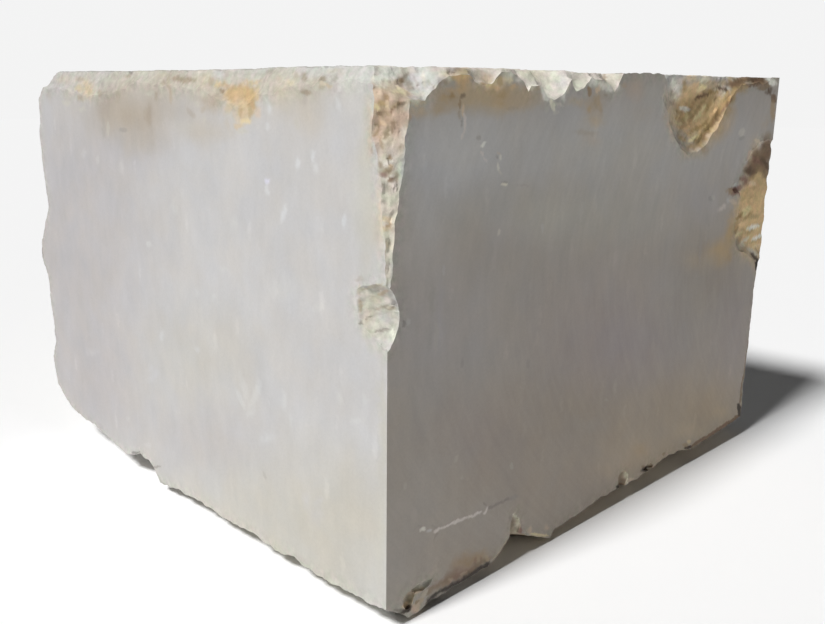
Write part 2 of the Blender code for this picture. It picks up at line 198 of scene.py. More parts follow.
def stroke(points, width, tone, strength, softness):
    """The marks that follow a bent line from point to point of the frame."""
    marks = []
    for (column, row), (next_column, next_row) in zip(points, points[1:]):
        right = next_column - column
        above = row - next_row
        length = STROKE_REACH * math.hypot(right, above) / 2 + STROKE_CAP * width
        turn = math.degrees(math.atan2(above, right))
        marks.append(((column + next_column) / 2, (row + next_row) / 2, length, width, turn,
                      tone, strength, softness))
    return marks


# --- marks on the stone --------------------------------------------------------------------------

# The tones of this stone, its stains, the earth on it and painted light and shade, from pale to dark.
TONES = {
    "chalk": "#EFEFE7", "ivory": "#E9E4D2", "straw": "#EEDFAF", "shell": "#DAD2CC",
    "butter": "#E5CEAE", "plaster": "#DDDACF", "wheat": "#D6C49C", "bone": "#D1CCC0",
    "silver": "#C8C8C8", "lilac": "#D0CEDA", "celadon": "#CDD2C0", "pearl": "#C2C1BF",
    "sand": "#CEC0AD", "honey": "#E0C192", "ash": "#BCBAB9", "limestone": "#BCB9AF",
    "biscuit": "#CAB5A1", "drab": "#B9B5AB", "pewter": "#B0ACAC", "oat": "#B8AFA1",
    "flax": "#C2AF91", "ochre": "#CFB184", "fawn": "#B7A791", "mushroom": "#ACA59D",
    "amber": "#BCA27A", "dove": "#A39E98", "mauve": "#A49A98", "tan": "#AB9E8C",
    "taupe": "#A2978B", "bronze": "#AF9774", "slate": "#97928C", "clay": "#9D9181",
    "buff": "#A18B6F", "lead": "#8D867F", "olive": "#A88C5E", "umber": "#8C7A63",
    "flint": "#7C7874", "liver": "#8A665A", "earth": "#7B634C", "bark": "#5C4836",
    "char": "#3E3024", "soot": "#281C12",
}

# Marks: stains, bruises, patches of one tone, and some painted light and shade. Each group below is
# named for what it shows. A mark is a rounded patch: its column and row in the frame, half its length,
# half its width, its turn in degrees, its tone, its strength and its softness. A stroke follows a bent
# line of columns and rows.

# Broad tones of the front.
FRONT_TONES = (
    (225, 330, 330, 260, 0, "ash", 1, 0.1),
    (55, 260, 75, 320, 0, "pewter", 0.95, 1),
    (92, 370, 50, 70, 0, "pewter", 0.8, 1),
    (120, 150, 60, 50, 0, "pewter", 0.7, 1),
    (210, 500, 230, 110, 0, "limestone", 0.55, 1),
    (350, 545, 70, 100, 0, "limestone", 0.95, 1),
    (350, 535, 60, 80, 0, "mushroom", 0.3, 1),
    (90, 180, 30, 50, 0, "pewter", 0.5, 1),
    (80, 300, 30, 50, 0, "pewter", 0.4, 1),
    (105, 240, 80, 190, 0, "pewter", 0.8, 1),
    (105, 390, 70, 60, 0, "pewter", 0.8, 1),
    (200, 360, 90, 80, 0, "drab", 0.6, 1),
    (300, 520, 110, 100, 0, "drab", 0.95, 1),
    (200, 440, 110, 60, 0, "pewter", 0.7, 1),
    (300, 470, 40, 40, 0, "ash", 0.4, 1),
    (345, 240, 30, 110, 0, "ash", 0.5, 1),
    (120, 330, 40, 60, 0, "pewter", 0.35, 1),
    (110, 420, 50, 30, 0, "pewter", 0.4, 1),
    (100, 370, 50, 50, 0, "pewter", 0.4, 1),
)

# Warm ground of the crown and its wash down the front.
FRONT_CROWN_GROUND = (
    (200, 84, 160, 24, 0, "oat", 0.75, 0.7),
    (180, 78, 34, 7, 0, "clay", 0.25, 0.9),
    (150, 112, 110, 46, 0, "mushroom", 0.8, 1.1),
    (128, 114, 50, 34, 0, "tan", 0.85, 1),
    (142, 140, 34, 26, 0, "mushroom", 0.7, 1),
    (150, 122, 9, 32, 0, "taupe", 0.5, 0.9),
    (104, 108, 12, 17, 0, "taupe", 0.5, 0.8),
    (176, 112, 26, 18, 0, "mushroom", 0.5, 1),
    (216, 100, 22, 18, 0, "tan", 0.8, 0.9),
    (205, 132, 42, 14, 0, "oat", 0.5, 0.9),
    (298, 94, 56, 30, 0, "oat", 0.85, 1),
    (310, 118, 22, 24, 0, "oat", 0.5, 1),
    (345, 92, 28, 22, 0, "ash", 0.5, 1),
    (58, 90, 16, 16, 0, "pewter", 0.5, 1),
)

# Pink and cream break at the far end of the crown.
FRONT_CROWN_FAR_BREAK = (
    (62, 78, 12, 8, 0, "oat", 0.75, 0.8),
    (74, 81, 7, 6, 0, "drab", 0.6, 0.8),
    (50, 95, 6, 9, 0, "mushroom", 0.7, 0.8),
    (68, 95, 10, 8, 0, "drab", 0.6, 0.8),
    (86, 74, 20, 4, 0, "drab", 0.6, 0.7),
    (80, 80, 5, 3, 0, "tan", 0.6, 0.7),
    (88, 88, 8, 14, 0, "flax", 0.75, 0.8),
    (79, 89, 4, 5, 0, "flax", 0.7, 0.7),
    (80, 98, 4.5, 5, 0, "tan", 0.7, 0.7),
    (66, 103, 6, 3, 0, "limestone", 0.6, 0.7),
    (82, 110, 4, 4, 0, "limestone", 0.7, 0.7),
    (96, 92, 3.5, 8, 0, "limestone", 0.7, 0.7),
    (104, 84, 3.5, 5, 0, "dove", 0.6, 0.7),
    (100, 94, 2.5, 4, 0, "clay", 0.6, 0.7),
    (109, 79, 9, 6, 0, "drab", 0.8, 0.7),
    (116, 77, 8, 5, 0, "drab", 0.6, 0.7),
    (131, 71, 3, 3, 0, "flint", 0.85, 0.6),
    (127, 75, 4, 3, 0, "clay", 0.6, 0.7),
    (146, 72, 13, 4, 0, "drab", 0.85, 0.6),
    (130, 84, 9, 6, 0, "mushroom", 0.6, 0.8),
)

# Brown wash below the crown.
FRONT_BROWN_WASH = (
    (116, 99, 5, 8, 0, "clay", 0.5, 0.9),
    (108, 98, 8, 12, 0, "taupe", 0.5, 0.9),
    (125, 120, 6, 12, 0, "taupe", 0.4, 0.9),
    (148, 116, 4, 15, 0, "clay", 0.55, 0.8),
    (140, 123, 8, 12, 0, "taupe", 0.45, 0.9),
    (123, 130, 4, 2.5, 0, "slate", 0.6, 0.7),
    (103, 128, 2, 12, 0, "dove", 0.5, 0.8),
    (108, 129, 2, 9, 0, "limestone", 0.6, 0.8),
    (148, 146, 5, 10, 0, "mushroom", 0.4, 0.9),
    (128, 150, 7, 16, 0, "mushroom", 0.4, 1),
    (157, 97, 5, 7, 0, "clay", 0.6, 0.8),
    (164, 84, 3.5, 3, 0, "clay", 0.65, 0.6),
    (152, 84, 8, 4, 0, "mushroom", 0.6, 0.8),
    (149, 93, 6, 3, 0, "limestone", 0.6, 0.7),
    (166, 76, 9, 3, 0, "oat", 0.6, 0.7),
    (170, 84, 3, 7, 0, "tan", 0.6, 0.7),
    (171, 96, 2, 9, 0, "tan", 0.6, 0.8),
    (161, 118, 4, 6, 0, "mushroom", 0.5, 0.8),
    (190, 112, 3, 7, 40, "taupe", 0.5, 0.8),
    (203, 110, 3, 5, -30, "tan", 0.4, 0.8),
    (205, 121, 4, 4, -30, "limestone", 0.4, 0.8),
    (185, 124, 14, 8, 0, "drab", 0.5, 0.9),
    (210, 105, 7, 9, 0, "tan", 0.5, 0.9),
)

# Olive ledge and pale flakes.
FRONT_OLIVE_LEDGE = (
    (184, 80, 12, 3, 0, "clay", 1, 0.5),
    (172, 71, 14, 2.5, 0, "drab", 0.62, 0.7),
    (199, 73, 5, 3, 0, "limestone", 0.88, 0.6),
    (190, 89, 9, 3, 0, "drab", 0.75, 0.7),
    (204, 82, 6, 9, 0, "oat", 1, 0.6),
    (204, 94, 5, 5, 0, "drab", 0.75, 0.7),
    (211, 82, 2.5, 6, 0, "tan", 0.75, 0.7),
    (219, 76, 8, 7, 0, "ash", 1, 0.6),
    (229, 80, 4, 3, 0, "limestone", 1, 0.6),
    (218, 86, 5, 3, 0, "flax", 1, 0.6),
    (197, 103, 4, 4, 0, "limestone", 0.62, 0.8),
)

# Ochre patch.
FRONT_OCHRE_PATCH = (
    (242, 96, 20, 13, 0, "amber", 0.95, 0.4),
    (244, 110, 14, 14, 0, "flax", 0.9, 0.5),
    (252, 97, 8, 15, 0, "amber", 0.8, 0.6),
    (253, 103, 4, 6, 0, "bronze", 0.6, 0.7),
    (258, 92, 3, 9, 0, "flax", 0.6, 0.7),
    (235, 92, 8, 9, 0, "amber", 0.7, 0.7),
    (238, 87, 5, 4, 0, "bronze", 0.6, 0.7),
    (226, 86, 5, 4, 0, "bronze", 0.7, 0.7),
    (222, 92, 2.8, 2.8, 0, "umber", 0.8, 0.6),
    (233, 99, 3, 9, 0, "bronze", 0.5, 0.8),
    (230, 110, 4, 8, -15, "flax", 0.6, 0.7),
    (240, 112, 3, 6, 0, "bronze", 0.5, 0.8),
    (251, 113, 3, 6, 0, "bronze", 0.6, 0.8),
    (246, 121, 7, 4, 0, "wheat", 0.8, 0.6),
    (258, 113, 4, 6, 0, "biscuit", 0.6, 0.7),
    (240, 126, 6, 3, 0, "flax", 0.7, 0.7),
    (244, 132, 7, 3, 0, "limestone", 0.7, 0.7),
    (252, 81, 11, 3, 0, "flax", 0.8, 0.6),
    (245, 77, 16, 2.5, 0, "drab", 0.7, 0.7),
    (268, 106, 4, 13, 0, "pearl", 0.6, 0.8),
    (230, 125, 5, 9, 0, "oat", 0.5, 0.8),
)

# Mottled crown up to the near corner.
FRONT_CROWN_MOTTLE = (
    (272, 74, 5, 4, 0, "mushroom", 0.94, 0.7),
    (263, 75, 6, 4, 0, "drab", 0.75, 0.7),
    (280, 80, 4, 3, 0, "oat", 0.88, 0.7),
    (290, 83, 5, 4, 0, "sand", 1, 0.7),
    (281, 90, 9, 5, 0, "oat", 0.75, 0.8),
    (296, 76, 4, 6, 0, "oat", 0.75, 0.7),
    (305, 77, 3, 6, 0, "taupe", 1, 0.6),
    (306, 94, 5, 3.5, 0, "clay", 1, 0.6),
    (304, 100, 3, 6, 0, "mushroom", 0.62, 0.8),
    (313, 82, 10, 9, 0, "oat", 0.75, 0.8),
    (321, 80, 5, 2.5, 20, "clay", 0.88, 0.6),
    (322, 84, 4, 2, 0, "sand", 0.88, 0.6),
    (320, 88, 5, 3, 0, "tan", 0.75, 0.7),
    (334, 80, 5, 5, 15, "dove", 0.94, 0.6),
    (328, 86, 3, 5, 40, "fawn", 0.75, 0.7),
    (334, 72, 12, 3, 0, "drab", 0.94, 0.7),
    (352, 75, 17, 7, 0, "pearl", 1, 0.6),
    (343, 86, 3, 10, -35, "pearl", 0.62, 0.8),
    (358, 77, 14, 9, 0, "pearl", 1, 0.5),
    (366, 95, 9, 6, 0, "pearl", 0.75, 0.8),
    (367, 108, 5, 16, 0, "limestone", 0.75, 0.8),
    (372, 120, 3, 4, 0, "mushroom", 0.62, 0.7),
    (296, 122, 4, 8, 0, "drab", 0.5, 0.8),
    (288, 105, 8, 7, 0, "drab", 0.5, 0.9),
)

# Bruised stone beside the near corner.
FRONT_CORNER_BRUISES = (
    (364, 200, 16, 95, 0, "limestone", 0.8, 0.9),
    (381, 215, 5, 55, 0, "sand", 0.8, 0.8),
    (368, 150, 10, 60, 0, "limestone", 0.65, 0.9),
    (372, 130, 5, 40, 0, "biscuit", 0.6, 0.8),
    (371, 220, 9, 50, 0, "limestone", 0.6, 0.9),
    (376, 235, 6, 26, 0, "oat", 0.5, 0.8),
    (366, 262, 14, 20, 0, "drab", 0.45, 0.9),
    (376, 340, 16, 18, 0, "limestone", 0.5, 0.8),
    (381, 430, 6, 100, 0, "limestone", 0.7, 0.8),
    (380, 545, 7, 60, 0, "limestone", 0.7, 0.8),
    (360, 280, 6, 3, 0, "mushroom", 0.6, 0.7),
    (373, 150, 1.5, 5, 0, "clay", 0.6, 0.7),
    (374, 122, 1.6, 3, 0, "fawn", 0.7, 0.7),
)

# Pale upright flecks.
FRONT_FLECKS = (
    (270, 181, 4.4, 5.5, 0, "lilac", 1, 0.8),
    (163, 335, 3.6, 6.6, -15, "pearl", 0.9, 0.9),
    (153, 376, 3.6, 9.9, -20, "ash", 0.9, 0.9),
    (195, 349, 4.2, 4.4, 0, "pearl", 0.9, 0.9),
    (92, 350, 6, 5.5, 0, "ash", 0.75, 1),
    (243, 385, 4.2, 15.4, 12, "pearl", 1, 0.9),
    (257, 392, 3.6, 17.6, -16, "pearl", 1, 0.9),
    (250, 412, 7.2, 6.6, 0, "pearl", 0.9, 1),
    (283, 400, 3.6, 13.2, 0, "pearl", 0.9, 1),
    (290, 420, 3.6, 9.9, 10, "pearl", 0.75, 1),
    (268, 438, 9.6, 5.5, 20, "pearl", 0.9, 1),
    (340, 397, 4.1, 5.5, 0, "pearl", 0.9, 0.9),
    (365, 400, 4.1, 5.5, 0, "pearl", 0.9, 0.9),
    (356, 420, 6, 3.9, 0, "pearl", 0.9, 0.9),
    (318, 307, 9.6, 3.9, 20, "pearl", 0.75, 1),
    (197, 292, 3.6, 4.4, 0, "pearl", 0.75, 1),
    (213, 297, 3.6, 4.4, 0, "pearl", 0.75, 1),
    (225, 268, 4.8, 4.4, 0, "pearl", 0.75, 1),
    (170, 285, 3.6, 13.2, 0, "ash", 0.75, 1),
    (285, 290, 21.6, 15.4, 0, "pearl", 0.9, 1),
    (315, 515, 14.4, 15.4, 0, "ash", 0.75, 1),
    (320, 500, 9.6, 5.5, 0, "ash", 0.75, 1),
    (150, 245, 4.8, 3.3, 0, "pearl", 0.9, 0.9),
    (268, 190, 2.5, 6.6, 0, "silver", 0.9, 1),
    (298, 163, 2.7, 6.6, 0, "silver", 1, 1),
    (313, 156, 2.7, 7.7, 0, "silver", 1, 1),
    (316, 168, 3.6, 7.7, 0, "silver", 0.75, 1),
    (345, 222, 2.7, 8.8, 0, "silver", 1, 1),
    (283, 214, 3.1, 11, -12, "silver", 1, 1),
    (175, 208, 4.8, 11, 0, "pearl", 0.9, 1),
    (234, 224, 4.8, 11, 0, "pearl", 0.9, 1),
    (150, 243, 3.6, 2.8, 0, "pearl", 1, 0.9),
    (271, 108, 4.2, 7.7, 0, "silver", 0.9, 1),
    (267, 126, 2.5, 4.4, 0, "silver", 0.75, 1),
    (82, 153, 4.2, 7.7, 0, "ash", 0.9, 1),
    (121, 168, 3.4, 8.8, 0, "ash", 0.75, 1),
    (97, 160, 2.5, 6.6, 0, "ash", 0.75, 1),
    (340, 105, 3.4, 11, 0, "silver", 0.75, 1),
    (240, 398, 2.7, 13.2, 20, "pearl", 0.75, 1),
    (252, 398, 2.7, 13.2, -20, "pearl", 0.75, 1),
    (340, 398, 3.4, 8.8, 0, "pearl", 0.75, 1),
    (365, 400, 3.4, 8.8, 0, "pearl", 0.75, 1),
    (305, 500, 4.8, 13.2, 0, "ash", 0.75, 1),
    (128, 418, 3.6, 3.3, 0, "ash", 0.75, 0.9),
    (150, 370, 3.6, 5.5, 0, "ash", 0.75, 1),
    (148, 445, 4.8, 3.3, 0, "ash", 0.9, 0.9),
)

# Fine dark lines of painted shade where the front turns away by the split side and in the notches at
# its foot, with a few pale marks.
FRONT_DARK_MARKS = (
    (42, 253, 1.2, 7, 0, "flint", 0.7, 0.7),
    (53, 355, 1.2, 6, 0, "flint", 0.7, 0.7),
    (65, 411, 5, 1.2, -45, "silver", 0.6, 0.8),
    (75, 413, 5, 1.6, -42, "earth", 0.7, 0.7),
    (136, 452, 4, 1.4, 0, "flint", 0.8, 0.7),
    (156, 468, 1.2, 6, -70, "lead", 0.7, 0.7),
    (165, 485, 7, 1.2, -25, "flint", 0.6, 0.8),
    (265, 475, 2, 5, 20, "dove", 0.5, 0.8),
)

# Near corner: the broken stone, with painted light on its pale head.
NEAR_CORNER_STONE = (
    (390, 110, 22, 60, 0, "biscuit", 1, 0.2),
    (386, 113, 8, 15, 0, "buff", 0.7, 0.7),
    (388, 205, 14, 70, 0, "bone", 1, 0.2),
    (384, 265, 9, 32, 0, "bone", 1, 0.3),
    # Its pale head is painted brighter than the stone: painted light in a hollow that the key light
    # misses.
    (389, 75, 15, 13, 0, "chalk", 1, 0.4),
    (378, 79, 6, 12, 0, "chalk", 0.9, 0.6),
    (392, 72, 9, 6, 0, "chalk", 0.9, 0.6),
    (410, 72, 7, 6, 0, "plaster", 0.9, 0.6),
    (402, 92, 9, 4, 0, "straw", 0.8, 0.7),
    (384, 86, 7, 6, 0, "ivory", 0.7, 0.7),
    (399, 118, 6, 8, 0, "biscuit", 0.75, 0.7),
    (403, 132, 5, 12, 0, "plaster", 0.7, 0.7),
    (398, 142, 6, 12, 0, "bone", 0.6, 0.7),
    (397, 156, 6, 8, 0, "bone", 0.7, 0.7),
    (399, 170, 3, 12, 0, "celadon", 0.7, 0.7),
    (384, 152, 5, 9, 0, "sand", 0.6, 0.8),
)

# Near corner: its brown hollows.
NEAR_CORNER_HOLLOWS = (
    (404, 82, 6, 5, 35, "umber", 0.9, 0.6),
    (407, 78, 3, 4, 0, "umber", 0.7, 0.6),
    (397, 83, 3.5, 2.5, 0, "flax", 0.7, 0.7),
    (413, 84, 2, 7, 0, "slate", 0.75, 0.7),
    (388, 97, 4.5, 3, 0, "bronze", 0.8, 0.7),
    (384, 103, 5, 3, 0, "ochre", 0.7, 0.7),
    (379, 107, 3.5, 2.5, 0, "straw", 0.6, 0.8),
    (397, 104, 6, 3.5, 15, "buff", 0.9, 0.6),
    (393, 110, 6, 2, 55, "earth", 0.9, 0.6),
    (388, 104, 2.2, 5, 0, "butter", 0.7, 0.7),
    (381, 113, 4, 2.6, 20, "umber", 0.85, 0.6),
    (386, 116, 3, 2, 0, "biscuit", 0.6, 0.7),
    (379, 123, 6, 1.8, 12, "umber", 0.85, 0.6),
    (377, 131, 7, 1.8, 65, "buff", 0.8, 0.7),
    (386, 133, 8, 2.2, 78, "umber", 0.75, 0.7),
    (392, 128, 8, 2.2, 80, "umber", 0.8, 0.7),
    (393, 121, 3, 2.5, 0, "umber", 0.8, 0.7),
    (383, 124, 2, 5, 70, "butter", 0.6, 0.7),
    (389, 142, 3.5, 5, 0, "tan", 0.6, 0.8),
    (381, 142, 1.8, 9, 10, "buff", 0.6, 0.8),
    (399, 146, 1.8, 2.2, 0, "fawn", 0.7, 0.7),
    (389, 157, 2.2, 3, 0, "buff", 0.85, 0.6),
    (381, 165, 2.6, 5, 0, "umber", 0.7, 0.7),
    (388, 172, 8, 6, 0, "buff", 0.85, 0.7),
    (384, 176, 4, 4, 0, "liver", 0.7, 0.7),
    (390, 181, 4.5, 3, 15, "earth", 0.85, 0.6),
    (390, 166, 3, 4, 0, "honey", 0.6, 0.7),
    (396, 176, 2.2, 8, 0, "tan", 0.8, 0.7),
    (380, 189, 6, 1.6, 45, "umber", 0.8, 0.7),
    (376, 194, 4, 1.2, 65, "umber", 0.7, 0.7),
    (388, 191, 5, 4, 0, "oat", 0.6, 0.8),
    (394, 188, 2.4, 6, 0, "shell", 0.6, 0.8),
    (386, 218, 6, 4, 0, "butter", 0.7, 0.8),
    (389, 225, 3, 2, -30, "buff", 0.9, 0.5),
    (386, 229, 7, 3, 0, "flax", 0.7, 0.8),
    (391, 237, 2.4, 4, 0, "plaster", 0.8, 0.7),
    (385, 246, 8, 5, 0, "butter", 0.5, 0.9),
)

# Shell-shaped chip.
SHELL_CHIP = (
    (378, 316, 21, 32, 0, "limestone", 0.95, 0.2),
    (365, 292, 7, 5, 0, "bone", 0.7, 0.7),
    (377, 299, 8, 6, 0, "oat", 0.7, 0.7),
    (389, 300, 5, 8, 0, "shell", 0.8, 0.6),
    (366, 316, 8, 12, 0, "oat", 0.6, 0.8),
    (383, 318, 9, 6, 0, "ash", 0.7, 0.7),
    (372, 287, 14, 1.8, 20, "oat", 0.8, 0.6),
    (384, 293, 6, 1.8, 18, "fawn", 0.75, 0.6),
    (360, 291, 2, 7, 0, "oat", 0.7, 0.7),
    (360, 305, 2, 6, 0, "fawn", 0.7, 0.7),
    (382, 308, 9, 1.8, 12, "taupe", 0.75, 0.6),
    (392, 309, 5, 1.8, 10, "fawn", 0.6, 0.7),
    (382, 330, 8, 1.6, 12, "lead", 0.75, 0.6),
    (361, 323, 2.6, 1.6, 0, "lead", 0.8, 0.6),
    (378, 341, 13, 5, -12, "pearl", 0.7, 0.7),
    (392, 338, 3, 12, 12, "plaster", 0.8, 0.5),
)

# Broad tones of the side. Its ground is painted darker than the front's, partly as painted shade
# on the side that faces away from the key light, and grows darker and browner towards the bottom.
SIDE_TONES = (
    (560, 300, 420, 420, 0, "mushroom", 1, 0.1),
    (600, 140, 260, 75, 0, "ash", 0.95, 0.8),
    (450, 150, 90, 75, 0, "silver", 0.95, 0.9),
    (560, 150, 60, 40, 0, "ash", 0.6, 1),
    (425, 215, 45, 100, 0, "ash", 0.9, 1),
    (560, 215, 180, 40, 0, "limestone", 0.7, 1),
    (620, 350, 130, 110, 0, "mauve", 0.9, 1),
    (715, 275, 50, 70, 0, "clay", 0.85, 1),
    (590, 420, 120, 60, 0, "clay", 0.8, 1),
    (480, 440, 70, 60, 0, "mauve", 0.7, 1),
    (440, 545, 60, 40, 0, "taupe", 0.7, 1),
    (625, 462, 60, 16, 28, "biscuit", 0.7, 1),
    (440, 330, 90, 90, 0, "pewter", 0.7, 1),
    (600, 150, 160, 60, 0, "drab", 0.6, 1),
    (560, 480, 260, 120, 0, "taupe", 0.9, 1),
    (430, 500, 60, 90, 0, "mushroom", 0.8, 1),
    (400, 540, 14, 90, 0, "mushroom", 0.6, 1),
    (700, 420, 110, 80, 0, "tan", 0.95, 1),
    (640, 455, 60, 40, 0, "fawn", 0.7, 1),
    (735, 330, 40, 80, 0, "mauve", 0.7, 1),
    (690, 300, 60, 80, 0, "dove", 0.6, 1),
    (398, 245, 4, 34, 0, "pewter", 0.5, 0.8),
    (520, 560, 60, 20, 0, "tan", 0.6, 1),
    (700, 205, 40, 40, 0, "pewter", 0.5, 1),
    (548, 400, 26, 22, 0, "taupe", 0.5, 1),
    (700, 405, 60, 40, 0, "bronze", 0.25, 1),
    (720, 412, 12, 10, 0, "flax", 0.5, 1),
    (690, 432, 22, 10, 0, "flax", 0.5, 1),
    (640, 450, 10, 8, 0, "amber", 0.4, 1),
    (608, 470, 14, 10, 0, "fawn", 0.4, 1),
    (590, 425, 22, 10, 0, "dove", 0.4, 1),
    (500, 230, 40, 40, 0, "pewter", 0.4, 1),
)

# Ground of the side crown.
SIDE_CROWN_GROUND = (
    (520, 80, 140, 30, 0, "shell", 0.9, 0.3),
)

# White break on the near half of the side crown.
SIDE_CROWN_WHITE_BREAK = (
    (424, 83, 18, 19, 0, "silver", 1, 0.4),
    (436, 70, 8, 4, 0, "shell", 0.7, 0.7),
    (444, 73, 8, 5, 0, "ivory", 0.8, 0.7),
    (420, 70, 8, 5, 0, "pearl", 0.6, 0.8),
    (413, 90, 6, 6, 0, "bone", 0.7, 0.7),
    (417, 84, 9, 1.4, -70, "mushroom", 0.6, 0.7),
    (431, 86, 8, 1.4, -55, "limestone", 0.6, 0.7),
    (424, 80, 2, 10, 10, "bone", 0.6, 0.8),
    (435, 90, 5, 4, 0, "shell", 0.6, 0.8),
    (418, 95, 7, 3, 0, "bone", 0.6, 0.8),
    (456, 67, 3.5, 4, 0, "taupe", 0.8, 0.6),
    (451, 77, 6, 3, 0, "shell", 0.7, 0.7),
)

# Brown and olive ground between the white lobes.
LOBE_GAPS = (
    (487, 98, 64, 17, 0, "flax", 0.95, 0.5),
    (446, 99, 20, 15, 0, "fawn", 0.85, 0.7),
    (418, 112, 16, 8, 0, "flax", 0.8, 0.8),
    (520, 98, 34, 9, 0, "fawn", 0.7, 0.9),
    (500, 90, 14, 12, 0, "amber", 0.75, 0.8),
    (462, 84, 8, 14, 0, "ochre", 0.85, 0.7),
    (462, 74, 14, 10, 0, "honey", 0.95, 0.5),
    (492, 81, 16, 9, 0, "butter", 0.85, 0.6),
    (486, 70, 14, 4, 0, "chalk", 0.8, 0.6),
    (489, 79, 12, 5, 0, "straw", 0.7, 0.6),
    (440, 110, 10, 7, 0, "amber", 0.6, 0.8),
    (480, 112, 60, 8, 0, "oat", 0.5, 1),
    (592, 102, 17, 13, 0, "fawn", 0.85, 0.9),
    (594, 116, 12, 8, 0, "fawn", 0.6, 1),
)

# Brown hollow at the head of the near corner.
NEAR_CORNER_HEAD = (
    (407, 80, 5.5, 7, 0, "taupe", 0.9, 0.5),
    (402, 84, 6, 4.5, 0, "umber", 0.95, 0.6),
    (414, 84, 3, 8, 0, "ash", 0.8, 0.6),
    (411, 87, 4, 6, 0, "taupe", 0.8, 0.6),
    (402, 96, 12, 5, 0, "fawn", 0.6, 0.8),
    (410, 72, 8, 3, 0, "bone", 0.6, 0.7),
)

# Olive and brown details between the white lobes.
LOBE_GAP_DETAILS = (
    (418, 103, 9, 3, 0, "butter", 0.6, 0.8),
    (408, 103, 3.5, 3.5, 0, "flax", 0.8, 0.6),
    (411, 113, 6, 7, 0, "biscuit", 0.5, 0.9),
    (407, 118, 3, 5, 0, "amber", 0.6, 0.7),
    (446, 82, 6, 3, 0, "fawn", 0.7, 0.7),
    (452, 96, 5, 4, 0, "olive", 0.8, 0.7),
    (444, 100, 5, 4, 0, "amber", 0.6, 0.8),
    (450, 90, 8, 4, 0, "ochre", 0.5, 0.8),
    (440, 84, 1.4, 6, 20, "tan", 0.6, 0.8),
    (463, 96, 3.4, 2.4, 15, "umber", 0.9, 0.6),
    (459.6, 104, 1.4, 7, 0, "buff", 0.85, 0.7),
    (459, 114, 1.4, 5, 0, "tan", 0.6, 0.8),
    (463, 110, 1.5, 7, 0, "butter", 0.6, 0.8),
    (473, 87, 3, 6, 0, "sand", 0.6, 0.8),
    (468, 94, 4, 3, 0, "flax", 0.5, 0.8),
    (492, 71, 2.4, 6, 0, "celadon", 0.8, 0.7),
    (484, 74, 4, 5, 0, "flax", 0.7, 0.7),
    (478, 80, 6, 4, -50, "biscuit", 0.6, 0.8),
    (500, 80, 2.4, 5, 10, "amber", 0.7, 0.7),
    (490, 82, 5, 5, 0, "straw", 0.8, 0.7),
    (495, 86, 6, 3, 0, "honey", 0.6, 0.8),
    (508, 79, 7, 4, 0, "straw", 0.8, 0.7),
    (513, 86, 6, 4, 0, "honey", 0.6, 0.8),
    (501, 92, 6, 5, 0, "bronze", 0.6, 0.8),
    (500, 101, 9, 4, 0, "amber", 0.5, 0.9),
    (524, 90, 4, 3, 0, "fawn", 0.6, 0.8),
    (538, 89, 8, 2.4, 10, "fawn", 0.7, 0.8),
    (520, 106, 20, 4, 0, "fawn", 0.4, 1),
    (512, 108, 5, 2.4, 0, "tan", 0.4, 0.8),
)

# White lobes of the middle of the side crown.
WHITE_LOBES = (
    (517, 71, 14, 4.5, 0, "shell", 0.9, 0.6),
    (534, 76, 17, 9, 0, "ivory", 0.95, 0.5),
    (530, 88, 6, 5, 0, "plaster", 0.9, 0.6),
    (553, 84, 20, 17, 0, "plaster", 0.98, 0.45),
    (563, 92, 9, 2, -60, "plaster", 0.7, 0.7),
    (556, 86, 8, 6, 0, "pearl", 0.6, 0.8),
    (548, 80, 2, 8, 10, "bone", 0.5, 0.8),
    (577, 75, 5, 6, 0, "dove", 0.85, 0.6),
    (579, 86, 10, 6, 0, "celadon", 0.9, 0.6),
    (592, 78, 12, 9, 0, "shell", 0.9, 0.6),
    (611, 78, 13, 9, 0, "bone", 0.9, 0.6),
    (605, 79, 1.8, 5, 0, "tan", 0.8, 0.6),
    (598, 80, 1.6, 6, 0, "shell", 0.5, 0.8),
    (618, 84, 2, 6, -20, "shell", 0.7, 0.7),
    (621, 76, 3, 6, 0, "oat", 0.7, 0.7),
    (618, 71, 4, 2, 0, "flint", 0.6, 0.7),
    (449, 73, 6, 7, 0, "sand", 0.8, 0.6),
    (461, 72, 9, 8, 0, "flax", 0.9, 0.5),
    (480, 76, 6, 8, 20, "oat", 0.9, 0.5),
    (489, 77, 7, 9, 0, "fawn", 0.9, 0.5),
    (486, 85, 6, 4, 0, "bronze", 0.8, 0.6),
    (506, 72, 5, 6, 0, "drab", 0.8, 0.6),
    (528, 80, 5, 6, 0, "plaster", 0.7, 0.6),
    (563, 83, 6, 10, 0, "pearl", 0.8, 0.6),
    (554, 92, 6, 8, 0, "shell", 0.8, 0.6),
    (560, 99, 5, 4, 0, "drab", 0.7, 0.6),
    (581, 81, 8, 9, 0, "drab", 0.9, 0.4),
    (578, 75, 6, 4, 0, "limestone", 0.7, 0.6),
    (588, 72, 5, 5, 0, "limestone", 0.7, 0.6),
)
